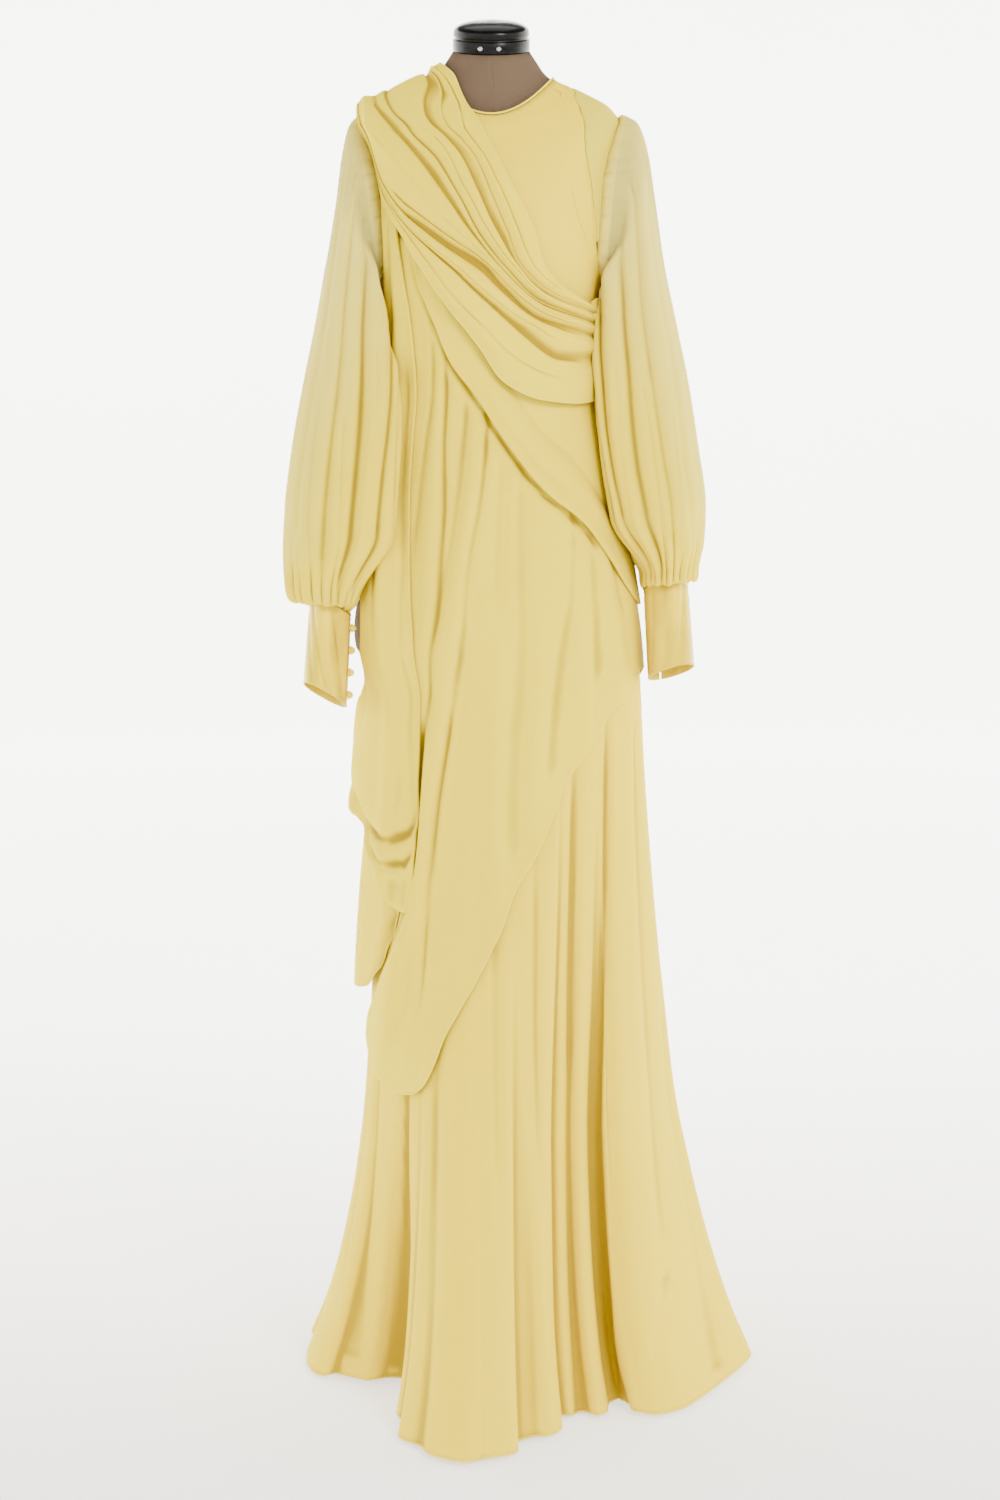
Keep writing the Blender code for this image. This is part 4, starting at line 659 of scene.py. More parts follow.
def fall_lift(deg, level):
    """Lift of the side fall: it swings out to the cowl at its foot, and rolls in at its edge."""
    inner = eased(FALL_LEVELS[:1] + FALL_LEVELS[3:], FALL_INNER, level)
    swing = eased(FALL_LEVELS, FALL_SWING, level)
    side = np.clip((-deg - 40) / 45, 0, 1)
    lift = swollen(inner + (swing - inner) * side, deg, level, FALL_SWELLS)
    edge = np.asarray(FALL_RIGHT)
    inside = (eased(edge[::-1, 1], edge[::-1, 0], level) - deg) / 4.5
    low = np.minimum(lift, overlay_lift(deg, level) + .0042)
    return lift + (low - lift) * np.exp(-inside**2)


def back_lift(deg, level):
    """Lift of the back overlay: a bell for the lobe at the left and a small one near its left
    edge, plus the swells down the back, and seated at its sewn top."""
    lift = np.full(np.shape(deg), OVERLAY_LIFT)
    lobe = eased(LOBE_LEVELS, LOBE_LIFTS, level)
    lift = lift + lobe * np.exp(-((deg + 92) / 22) ** 2)
    lift = lift + .0025 * np.exp(-((deg + 112) / 9) ** 2)
    return seated(swollen(lift, deg, level, BACK_SWELLS), BACK_TOP, deg, level)


def wrap_lift(deg, level):
    """Lift of the hip wrap: low near its top, under the sash, higher from the overlay's sewn
    top down, plus a bell along its edge."""
    edge = np.asarray(WRAP_EDGE)
    above = level - eased(edge[:, 0], edge[:, 1], deg)
    top = np.asarray(OVER_TOP)[:-1]
    over = soft((eased(top[:, 0], top[:, 1], deg) + .050 - level) / .035)
    full = np.clip((deg + 30) / 25, 0, 1) * np.clip((75 - deg) / 40, 0, 1)
    return WRAP_LOW + (WRAP_LIFT - WRAP_LOW) * over + WRAP_FULL * np.exp(-(above / .015) ** 2) * full


def linear(code, alpha=None):
    """Linear colour from an sRGB hex value."""
    values = [int(code[k:k + 2], 16) / 255 for k in (1, 3, 5)]
    values = [v / 12.92 if v <= .04045 else ((v + .055) / 1.055) ** 2.4 for v in values]
    return (*values, alpha) if alpha is not None else tuple(values)


def node(tree, kind, settings=None, **links):
    """Adds a shader node, sets its properties, sockets and the (place, colour) stops of a ramp,
    and links what comes from others."""
    made = tree.nodes.new(kind)
    for name, value in (settings or {}).items():
        if name == "stops":
            line = made.color_ramp
            while len(line.elements) < len(value):
                line.elements.new(.5)
            for mark, (place, colour) in zip(line.elements, value):
                mark.position = place
                mark.color = (*colour[:3], 1)
        elif hasattr(made, name):
            setattr(made, name, value)
        else:
            made.inputs[int(name) if name.isdigit() else name].default_value = value
    for name, source in links.items():
        slot = made.inputs[int(name[1:])] if name[1:].isdigit() else made.inputs[name.replace("_", " ")]
        tree.links.new(source, slot)
    return made


def material(name, roughness, metallic=0.0, **sockets):
    """New node material with a Principled shader; returns it with its tree and shader."""
    look = bpy.data.materials.new(name)
    look.use_nodes = True
    shader = look.node_tree.nodes["Principled BSDF"]
    shader.inputs["Roughness"].default_value = roughness
    shader.inputs["Metallic"].default_value = metallic
    for socket, value in sockets.items():
        shader.inputs[socket.replace("_", " ")].default_value = value
    return look, look.node_tree, shader


def mixed(first, second):
    """Colour between two, three parts of the first to two of the second."""
    return tuple(.6 * a + .4 * b for a, b in zip(first, second))


def dressed(tree, shader, height, strength, distance, amount, stops):
    """Gives a shader relief from one number, through a bump, and colour from another, through a
    ramp; returns the colour."""
    relief = node(tree, "ShaderNodeBump", {"Strength": strength, "Distance": distance}, Height=height)
    tree.links.new(relief.outputs[0], shader.inputs["Normal"])
    tint = node(tree, "ShaderNodeValToRGB", {"stops": stops}, Fac=amount)
    tree.links.new(tint.outputs[0], shader.inputs["Base Color"])
    return tint.outputs[0]


def threads(tree, place, pitch):
    """Yarns at right angles: the sine of each coordinate of the cut map, one period a pitch."""
    parts = node(tree, "ShaderNodeSeparateXYZ", i0=place)
    waves = []
    for axis in (0, 1):
        grow = node(tree, "ShaderNodeMath", {"operation": "MULTIPLY", "1": 2 * np.pi / pitch},
                    i0=parts.outputs[axis])
        waves.append(node(tree, "ShaderNodeMath", {"operation": "SINE"}, i0=grow.outputs[0]).outputs[0])
    return waves


def chiffon(name, lit, deep, sheer=None):
    """Silk chiffon, crepe woven from fine twisted yarn: matt, with a faint pebble of threads. Its colour
    holds painted shade: it deepens in folds, by the fold depth, and near other surfaces, by ambient
    occlusion. Real threads stand .25 mm apart; they are drawn at about 1 mm so that they show."""
    look, tree, shader = material(name, .75, Sheen_Weight=.05,
                                  Sheen_Roughness=.5, Specular_IOR_Level=.08, IOR=1.45,
                                  Specular_Tint=linear("#FFDC50", 1), Sheen_Tint=linear("#FFE27A", 1))
    weave = node(tree, "ShaderNodeUVMap", {"uv_map": "cut"})
    warp, weft = threads(tree, weave.outputs[0], CREPE_PITCH)
    grid = node(tree, "ShaderNodeMath", {"operation": "ADD"}, i0=warp, i1=weft)
    crepe = node(tree, "ShaderNodeTexNoise", {"Scale": 620.0, "Detail": 2.0}, Vector=weave.outputs[0])
    slub = node(tree, "ShaderNodeMapping", {"Scale": (26.0, 7.0, 1.0)}, Vector=weave.outputs[0])
    cloudy = node(tree, "ShaderNodeTexNoise", {"Scale": 1.0, "Detail": 4.0}, Vector=slub.outputs[0])
    height = node(tree, "ShaderNodeMath", {"operation": "MULTIPLY_ADD", "1": .18},
                  i0=grid.outputs[0], i2=crepe.outputs[0])
    # Painted shade: the fold depth and the ambient occlusion below deepen the colour from lit towards deep;
    # the noise mottle is the cloth's own uneven tone.
    folds = node(tree, "ShaderNodeAttribute", {"attribute_name": "hollow"})
    mottle = node(tree, "ShaderNodeMath", {"operation": "MULTIPLY_ADD", "1": .24, "2": -.12},
                  i0=cloudy.outputs[0])
    occlusion_shade = node(tree, "ShaderNodeAmbientOcclusion", {"samples": 6, "Distance": NEAR_SHADE})
    inside = node(tree, "ShaderNodeMath", {"operation": "MULTIPLY_ADD", "1": -1.0, "2": 1.0},
                  i0=occlusion_shade.outputs["AO"])
    together = node(tree, "ShaderNodeMath", {"operation": "MULTIPLY_ADD", "1": .80},
                    i0=inside.outputs[0], i2=folds.outputs["Fac"])
    depth = node(tree, "ShaderNodeMath", {"operation": "ADD"}, i0=together.outputs[0],
                 i1=mottle.outputs[0])
    stops = [(0, lit), (.12, lit), (.55, mixed(lit, deep)), (1, deep)]
    tint = dressed(tree, shader, height.outputs[0], .20, .0005, depth.outputs[0], stops)
    if sheer:
        # The first sheer stop, grey-green, is painted shade seen through a single layer of the sleeve.
        dense = node(tree, "ShaderNodeAttribute", {"attribute_name": "dense"})
        single = node(tree, "ShaderNodeValToRGB", {"stops": [(0, sheer[0]), (.25, sheer[1])]},
                      Fac=dense.outputs["Fac"])
        many = node(tree, "ShaderNodeMapRange", {"1": .2, "2": .9}, i0=dense.outputs["Fac"])
        layers = node(tree, "ShaderNodeMix", {"data_type": "RGBA"}, i0=many.outputs[0],
                      i6=single.outputs[0], i7=tint)
        tree.links.new(layers.outputs[2], shader.inputs["Base Color"])
        cover = node(tree, "ShaderNodeMath", {"operation": "MULTIPLY_ADD", "1": .27, "2": .70},
                     i0=dense.outputs["Fac"])
        tree.links.new(cover.outputs[0], shader.inputs["Alpha"])
    return look


def charmeuse(name, lit, deep):
    """Silk charmeuse, satin woven: long floats give a soft lengthways sheen. Its colour holds painted sheen
    in slanting bands and painted shade in folds, paler on crests.
    """
    look, tree, shader = material(name, .30, Anisotropic=.35, Specular_IOR_Level=.45, IOR=1.5,
                                  Specular_Tint=linear("#FFD030", 1))
    weave = node(tree, "ShaderNodeUVMap", {"uv_map": "cut"})
    floats = node(tree, "ShaderNodeMapping", {"Scale": (1400.0, 160.0, 1.0)}, Vector=weave.outputs[0])
    grain = node(tree, "ShaderNodeTexNoise", {"Scale": 1.0, "Detail": 2.0}, Vector=floats.outputs[0])
    # Painted shade in folds, paler on crests, and painted sheen: slanting bands of lighter and deeper colour
    # that stand in for the satin's gleams.
    folds = node(tree, "ShaderNodeAttribute", {"attribute_name": "hollow"})
    slant = node(tree, "ShaderNodeMapping", {"Rotation": (0, 0, .6), "Scale": (34.0, 11.0, 1.0)},
                 Vector=weave.outputs[0])
    cloudy = node(tree, "ShaderNodeTexNoise", {"Scale": 1.0, "Detail": 1.5}, Vector=slant.outputs[0])
    painted_sheen = node(tree, "ShaderNodeMath", {"operation": "MULTIPLY_ADD", "1": 1.9, "2": -.62},
                 i0=cloudy.outputs[0])
    depth = node(tree, "ShaderNodeMath", {"operation": "ADD"}, i0=folds.outputs["Fac"],
                 i1=painted_sheen.outputs[0])
    stops = [(0, lit), (.15, lit), (.6, mixed(lit, deep)), (1, deep)]
    dressed(tree, shader, grain.outputs[0], .12, .0004, depth.outputs[0], stops)
    return look


def linen(name, warp, weft):
    """Woven linen cover, two yarns of taupe with slubs: matt, plain woven at .8 mm a thread and
    drawn at 1.5 mm so that it shows."""
    look, tree, shader = material(name, .9, Specular_IOR_Level=.02)
    place = node(tree, "ShaderNodeUVMap", {"uv_map": "cut"})
    upright, level = threads(tree, place.outputs[0], LINEN_PITCH)
    plain = node(tree, "ShaderNodeMath", {"operation": "MULTIPLY"}, i0=upright, i1=level)
    slub = node(tree, "ShaderNodeTexNoise", {"Scale": 420.0, "Detail": 3.0}, Vector=place.outputs[0])
    height = node(tree, "ShaderNodeMath", {"operation": "MULTIPLY_ADD", "1": .5},
                  i0=plain.outputs[0], i2=slub.outputs[0])
    blend = node(tree, "ShaderNodeMath", {"operation": "MULTIPLY_ADD", "1": .30, "2": .35},
                 i0=height.outputs[0])
    dressed(tree, shader, height.outputs[0], .45, .0006, blend.outputs[0], [(.15, weft), (.85, warp)])
    return look


def moulded(name, light, dark, roughness):
    """Gloss black moulded plastic with faint polishing marks."""
    look, tree, shader = material(name, roughness, Specular_IOR_Level=.16, IOR=1.49)
    place = node(tree, "ShaderNodeTexCoord")
    marks = node(tree, "ShaderNodeTexNoise", {"Scale": 160.0, "Detail": 3.0},
                 Vector=place.outputs["Object"])
    rough = node(tree, "ShaderNodeMath", {"operation": "MULTIPLY_ADD", "1": .10, "2": roughness},
                 i0=marks.outputs[0])
    tree.links.new(rough.outputs[0], shader.inputs["Roughness"])
    tint = node(tree, "ShaderNodeValToRGB", {"stops": [(0, dark), (1, light)]}, Fac=marks.outputs[0])
    tree.links.new(tint.outputs[0], shader.inputs["Base Color"])
    return look


def metal(name, light, dark, roughness, metallic, scale):
    """Metal part: brushed steel has fine lines round the tube, painted iron a cast orange peel."""
    look, tree, shader = material(name, roughness, metallic)
    place = node(tree, "ShaderNodeTexCoord")
    lines = node(tree, "ShaderNodeMapping", {"Scale": scale}, Vector=place.outputs["Object"])
    marks = node(tree, "ShaderNodeTexNoise", {"Scale": 1.0, "Detail": 4.0}, Vector=lines.outputs[0])
    dressed(tree, shader, marks.outputs[0], .12, .0004, marks.outputs[0], [(.3, dark), (.7, light)])
    return look


def chosen(name):
    """Colour that the user may have changed in the panel."""
    return tuple(getattr(bpy.context.scene.gown_colours, name))


# Each chiffon and charmeuse finish has a lit colour and a deep one; the deep colour is painted shade, used in
# folds and near other surfaces.
LOOKS = {
    "silk chiffon": lambda name: chiffon(name, chosen("lit"), chosen("deep")),
    # The sheer chiffon's first sheer colour, grey-green, is painted shade seen through a single layer.
    "sheer chiffon": lambda name: chiffon(name, linear("#E6CC10"), linear("#8E7404"),
                                          sheer=(linear("#96924A"), linear("#EBDA66"))),
    "sheer panel": lambda name: chiffon(name, linear("#D6C22C"), linear("#94800E")),
    "overlay chiffon": lambda name: chiffon(name, linear("#E6CD0D"), linear("#9A7E03")),
    # Rolled hems and the neck binding are paler than the cloth: painted highlight along their edges.
    "chiffon hem": lambda name: chiffon(name, linear("#F2DC3C"), linear("#C8A60C")),
    "silk charmeuse": lambda name: charmeuse(name, linear("#E6CA0A"), linear("#8E7204")),
    "taupe linen": lambda name: linen(name, linear("#6A5848"), linear("#4E4034")),
    "gloss black plastic": lambda name: moulded(name, linear("#080808"), linear("#030303"), .16),
    "brushed steel": lambda name: metal(name, linear("#B9BBBD"), linear("#8C8F92"), .30, 1.0,
                                        (30, 30, 900)),
    "painted iron": lambda name: metal(name, linear("#1E1E20"), linear("#0E0E10"), .45, 0.0,
                                       (260, 260, 260)),
}


def finished(name):
    """The named finish, made the first time it is asked for."""
    return bpy.data.materials.get(name) or LOOKS[name](name)


def blurred(values, half, closed):
    """Mean of each grid point's neighbours in a square of 2 half + 1, from running sums."""
    for axis in (0, 1):
        mode = "wrap" if closed and axis == 1 else "edge"
        pad = [(0, 0)] * values.ndim
        pad[axis] = (half[axis] + 1, half[axis])
        total = np.cumsum(np.pad(values, pad, mode=mode), axis=axis)
        size = 2 * half[axis] + 1
        high = np.take(total, range(size, total.shape[axis]), axis=axis)
        low = np.take(total, range(0, total.shape[axis] - size), axis=axis)
        values = (high - low) / size
    return values


def grid_steps(points, closed):
    """Steps across and down at each grid point."""
    if closed:
        across = (np.roll(points, -1, 1) - np.roll(points, 1, 1)) / 2
    else:
        across = np.gradient(points, axis=1)
    return across, np.gradient(points, axis=0)


def facing(points, closed=False):
    """Unit normals of a grid: the step down crossed with the step across."""
    across, down = grid_steps(points, closed)
    away = np.cross(down, across)
    return away / np.maximum(np.linalg.norm(away, axis=-1, keepdims=True), 1e-12)


def hollow(points, closed):
    """How deep each point lies in a fold, 0 to 1, which sets the painted shade in folds: its distance below
    the mean of its neighbours along the normal, over the depth that counts as full, for a fine and a broad
    reach."""
    across, down = grid_steps(points, closed)
    step = [np.median(np.linalg.norm(down, axis=-1)), np.median(np.linalg.norm(across, axis=-1))]
    away = facing(points, closed)
    total = 0
    for reach, full in FOLD_REACHES:
        half = [int(np.clip(round(reach / s), 1, points.shape[k] // 3)) for k, s in enumerate(step)]
        below = ((blurred(points, half, closed) - points) * away).sum(-1)
        total = total + np.clip(below / full, -.3, 1)
    return np.clip(total * .60, 0, 1)


def piece(name, points, finish, slot, closed=False, wall=0.0, caps=False, dense=None):
    """Grid of points as a mesh object: cut map in metres, fold depth for the painted shade in the colour, how
    much sheer cloth covers together with its painted shade, and a wall."""
    rows, cols = points.shape[:2]
    index = np.arange(rows * cols).reshape(rows, cols)
    after = np.roll(index, -1, 1) if closed else index[:, 1:]
    here = index if closed else index[:, :-1]
    quads = np.stack([here[:-1], here[1:], after[1:], after[:-1]], -1).reshape(-1, 4)
    faces = quads.tolist()
    if caps:
        faces += [index[0].tolist(), index[-1, ::-1].tolist()]
    mesh = bpy.data.meshes.new(name)
    mesh.from_pydata(points.reshape(-1, 3).tolist(), [], faces)
    ringed = np.concatenate([points, points[:, :1]], 1) if closed else points
    across = np.linalg.norm(np.diff(ringed, axis=1), axis=-1).mean(0)
    down = np.linalg.norm(np.diff(points, axis=0), axis=-1).mean(1)
    u = np.concatenate([[0], np.cumsum(across)])
    v = np.concatenate([[0], np.cumsum(down)])
    width = cols if closed else cols - 1
    r, c = np.divmod(np.arange((rows - 1) * width), width)
    corners = np.stack([np.stack([u[c + du], -v[r + dv]], -1)
                        for dv, du in ((0, 0), (1, 0), (1, 1), (0, 1))], 1)
    layer = mesh.uv_layers.new(name="cut")
    flat = np.zeros((len(mesh.loops), 2))
    flat[:corners.shape[0] * 4] = corners.reshape(-1, 2)
    layer.data.foreach_set("uv", flat.ravel())
    shade = hollow(points, closed) if min(rows, cols) > 12 else np.zeros((rows, cols))
    mesh.attributes.new("hollow", "FLOAT", "POINT").data.foreach_set("value", shade.ravel())
    if dense is not None:
        mesh.attributes.new("dense", "FLOAT", "POINT").data.foreach_set("value", dense.ravel())
    mesh.shade_smooth()
    mesh.materials.append(finished(finish))
    made = bpy.data.objects.new(name, mesh)
    bpy.context.scene.collection.objects.link(made)
    if wall:
        shell = made.modifiers.new("Wall", "SOLIDIFY")
        shell.thickness = wall
        shell.offset = 0.0
    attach(made, "root")
    return made


def roll(name, path, up, radius, finish, slot, sides=8, closed=False):
    """Thin rolled edge or cord: a circle carried along a path, its sides from the path's
    direction crossed with the outward one."""
    path = np.asarray(path, float)
    if closed:
        ahead = np.roll(path, -1, 0) - np.roll(path, 1, 0)
    else:
        ahead = np.gradient(path, axis=0)
    ahead /= np.linalg.norm(ahead, axis=-1, keepdims=True)
    side = np.cross(ahead, up)
    side /= np.linalg.norm(side, axis=-1, keepdims=True)
    top = np.cross(side, ahead)
    turn = np.linspace(0, 2 * np.pi, sides, endpoint=False)
    rings = (path[:, None] + radius * (np.cos(turn)[None, :, None] * side[:, None]
                                       - np.sin(turn)[None, :, None] * top[:, None]))
    if closed:
        rings = np.concatenate([rings, rings[:1]])
    return piece(name, rings, finish, slot, closed=True, caps=not closed)


def lathe(name, profile, sides, finish, slot, middle=(0, 0, 0), tilt=0.0):
    """Solid of revolution about Z: each (radius, height) row, top first, turned all round, then
    tilted to the front about X."""
    turn = np.linspace(0, 2 * np.pi, sides, endpoint=False)
    rows = np.asarray(profile, float)
    lean = np.radians(tilt)
    x = rows[:, :1] * np.cos(turn)
    y = rows[:, :1] * np.sin(turn)
    z = np.repeat(rows[:, 1:], sides, 1)
    rings = np.stack([x, y * np.cos(lean) - z * np.sin(lean), y * np.sin(lean) + z * np.cos(lean)], -1)
    return piece(name, rings + np.asarray(middle, float), finish, slot, closed=True, caps=True)


def rounded(profile, count):
    """Profile rows joined by a smooth line through them, at even shares of its length."""
    rows = np.asarray(profile, float)
    dist = covered(rows)
    return eased(dist / dist[-1], rows, np.linspace(0, 1, count))


def sewn(made, with_pieces=()):
    """Reads the sheet's cut map and returns the sheet as it is."""
    flat = np.zeros(len(made.data.loops) * 2)
    made.data.uv_layers["cut"].data.foreach_get("uv", flat)
    return made


def thickness(share=1.0):
    """Chosen thickness of the chiffon's wall, or a share of it where the cloth is finer."""
    return bpy.context.scene.gown_sizes.wall * share


def hem_roll(name, deg, level, lift, columns):
    """Fine hand-rolled hem: a cord of the chosen radius along an edge line of the chart."""
    spots = cloth(deg, level, lift)
    dist = covered(spots)
    even = np.linspace(0, dist[-1], columns)
    facing_out = outward(np.radians(deg), level)
    path, away = [np.stack([np.interp(even, dist, each[:, k]) for k in range(3)], -1)
                  for each in (spots, facing_out)]
    radius = bpy.context.scene.gown_sizes.hem
    # Its paler finish is painted highlight along the edge.
    return roll(name, path, away, radius, "chiffon hem", "gown_chiffon", sides=6)


def panel(name, points, solid, held, rests_on, finish="silk chiffon", share=1.0, hem=None,
          flared=False, **more):
    """Cloth of the gown in place of its solid: a wall, a share of the chosen one, and its rolled
    hem where it has one."""
    made = piece(name, points, finish, "gown_chiffon", wall=thickness(share), **more)
    edges = [hem_roll(f"{solid}_hem", *hem)] if hem else []
    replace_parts(sewn(made, edges), solid)


def dress_form():
    """Torso and neck as rings through the form's table, with the front seam as a fine groove;
    cap, screws, pole and base turned from their profiles."""
    levels = np.concatenate([[.9, .9015, .904], np.linspace(.908, 1.634, 150)])
    turn = np.linspace(-np.pi, np.pi, 144, endpoint=False)
    angle, level = np.meshgrid(turn, levels[::-1])
    spots = ring(TORSO, angle, level)
    groove = np.exp(-(np.degrees(angle) / 1.3) ** 2) + np.exp(-((180 - abs(np.degrees(angle))) / 1.3) ** 2)
    away = spots - spots.mean(1, keepdims=True)
    away[..., 2] = 0
    away /= np.linalg.norm(away, axis=-1, keepdims=True)
    spots = spots - away * .0009 * groove[..., None]
    torso = piece("form_body", spots, "taupe linen", "form_linen", closed=True, caps=True)
    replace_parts(torso, "form_torso")
    wide = CAP_RADIUS
    tall = CAP_HEIGHT
    dome = rounded([(wide * .10, tall), (wide * .50, tall - .0016), (wide * .80, tall - .0052),
                    (wide * .93, tall - .0090), (wide - .0012, .0245), (wide - .0004, .0182)], 26)
    rim = [(wide - .0022, .0174), (wide - .0022, .0150), (wide - .0004, .0143), (wide, .0138),
           (wide, .0018), (wide - .0004, .0006), (wide - .0015, .0)]
    seat = (0, 0, NECK_TOP + .0006)
    cap = lathe("neck_cap", np.concatenate([dome, rim]), 64, "gloss black plastic", "cap_plastic",
                seat, CAP_TILT)
    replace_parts(cap, "form_neck_cap")
    lean = np.radians(CAP_TILT)
    for side, degrees in (("left", -16.0), ("right", 11.0)):
        turn = np.radians(degrees)
        out = wide + .0005
        flat = np.array([out * np.sin(turn), -out * np.cos(turn), .0075])
        where = np.array([flat[0], flat[1] * np.cos(lean) - flat[2] * np.sin(lean),
                          flat[1] * np.sin(lean) + flat[2] * np.cos(lean)]) + seat
        head = [(.0004, .0015), (.0011, .0015), (.0012, .0022), (.0022, .0018), (.0029, .0009), (.0030, 0)]
        screw = lathe(f"cap_screw_{side}", head, 24, "brushed steel", "cap_plastic", where, CAP_TILT + 90)
        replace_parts(screw, f"form_cap_screw_{side}")
    plate = [(.045, .8992), (.045, .8840), (.044, .8830), (POLE_RADIUS + .002, .8820),
             (POLE_RADIUS, .880), (POLE_RADIUS, BASE_THICK + .0096)]
    pole = lathe("pole", plate, 48, "brushed steel", "pole_steel")
    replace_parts(pole, "form_pole")
    foot = [(.030, BASE_THICK + .009), (.032, BASE_THICK + .0085), (.034, BASE_THICK),
            (.060, BASE_THICK - .0010), (BASE_RADIUS - .004, .0160), (BASE_RADIUS - .0010, .0150),
            (BASE_RADIUS, .0120), (BASE_RADIUS, .0040), (BASE_RADIUS - .0010, .0010), (BASE_RADIUS - .004, 0)]
    base = lathe("round_base", foot, 96, "painted iron", "base_iron")
    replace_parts(base, "form_base")


def bodice():
    """Bodice panels laid on the body chart: columns spread between the seams at each level,
    with darts, seam hollows and a bound neck."""
    half = 90 - np.degrees(BODICE_SEAM / BODICE_BREADTH)
    arm = np.asarray(ARMHOLE)
    prin = np.asarray(PRINCESS)
    edge = np.array([(WAIST, half), (UNDERARM, half), (1.352, 79), (1.365, 71), (1.385, 65.5),
                     *PRINCESS, (NECK_LEVEL, 89.1)])
    levels = np.concatenate([np.linspace(WAIST + FINE, 1.40, 38), np.linspace(1.404, NECK_LEVEL, 48)])
    spread = np.linspace(-1, 1, 181)
    deg = np.interp(levels, edge[:, 0], edge[:, 1])[:, None] * spread[None]
    lev = np.repeat(levels[:, None], len(spread), 1)
    lift = creases(deg, lev, BODICE_FOLDS) + UNDER_SEAM * soft((abs(spread) - .97) / .03)[None]
    panel("bodice_front_panel", cloth(deg, lev, lift)[::-1], "bodice_front", "stretched", ["form_body"],
          share=FINE_CLOTH)
    rise = np.concatenate([np.linspace(1.402, SHOULDER_TIP, 44), np.linspace(1.556, 1.589, 14)])
    inner = np.interp(rise, prin[:, 0], prin[:, 1]) + .35
    outer = np.where(rise <= SHOULDER_TIP, np.interp(rise, arm[:, 0], arm[:, 1]), 89.1)
    for name, side in (("left", -1), ("right", 1)):
        share = np.linspace(0, 1, 26)
        deg = side * (inner[:, None] + (outer - inner)[:, None] * share[None])
        lev = np.repeat(rise[:, None], len(share), 1)
        grid = cloth(deg, lev, UNDER_SEAM * soft((.08 - share) / .08)[None] + np.zeros(deg.shape))
        panel(f"bodice_side_panel_{name}", grid[::-side], f"bodice_side_{name}", "stretched",
              ["form_body"], "sheer panel", FINE_CLOTH)
    levels = np.concatenate([np.linspace(WAIST + FINE, 1.40, 40), np.linspace(1.404, NECK_LEVEL, 50)])
    side_line = [(WAIST, 180 - half), (UNDERARM, 180 - half), *[(row[0], row[2]) for row in ARMHOLE[1:-1]],
                 (SHOULDER_TIP, 90.9), (NECK_LEVEL, 90.9)]
    edge = np.interp(levels, [row[0] for row in side_line], [row[1] for row in side_line])
    middle = 180 - np.degrees(BODICE_SEAM / BODICE_DEPTH)
    for name, side in (("left", -1), ("right", 1)):
        share = np.linspace(0, 1, 60)
        deg = side * (edge[:, None] + (middle - edge)[:, None] * share[None])
        lev = np.repeat(levels[:, None], len(share), 1)
        lift = creases(side * deg, lev, BACK_DARTS) + UNDER_SEAM * soft((share - .96) / .04)[None]
        panel(f"bodice_back_panel_{name}", cloth(deg, lev, lift)[::-side], f"bodice_back_{name}",
              "stretched", ["form_body"], share=FINE_CLOTH)
    turn = np.linspace(-180, 180, 180, endpoint=False)
    rim = cloth(turn, np.full(180, NECK_LEVEL), np.zeros(180))
    rim[:, 2] += .0022
    bound = roll("neck_binding_roll", rim, (0, 0, 1), .0012, "chiffon hem", "gown_chiffon", closed=True)
    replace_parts(bound, "neck_binding")


def skirt():
    """Skirt panels: chart columns from seam to seam, moved by the hem's folds, with finer
    creases that run up out of the valleys."""
    gap = np.degrees(SKIRT_SEAM / SKIRT_BREADTH)
    levels = np.concatenate([np.linspace(WAIST - FINE, .995, 14, endpoint=False),
                             np.linspace(.995, .866, 14, endpoint=False), np.linspace(.866, 0, 92)])
    table = np.asarray(OPENING)
    front_edge = eased(table[:, 0], table[:, 1], levels) + gap
    back_edge = eased(table[:, 0], table[:, 2], levels) - gap
    right = 90 - gap
    share = np.linspace(0, 1, 161)
    deg = front_edge[:, None] + (right - front_edge)[:, None] * share[None]
    panels = [("skirt_front", deg)]
    share = np.linspace(0, 1, 96)
    deg = (-180 + gap / 2) + (back_edge + 180 - gap / 2)[:, None] * share[None]
    panels.append(("skirt_back_left", deg))
    deg = np.repeat((right + 2 * gap + (90 - 1.5 * gap) * share)[None], len(levels), 0)
    panels.append(("skirt_back_right", deg))
    for name, deg in panels:
        lev = np.repeat(levels[:, None], deg.shape[1], 1)
        lift = creases(deg, lev, SKIRT_FOLDS)
        panel(f"{name}_panel", cloth(deg, lev, lift), name, "hung", ["form_body"],
              hem=(deg[-1], lev[-1] + .0012, lift[-1], 360))


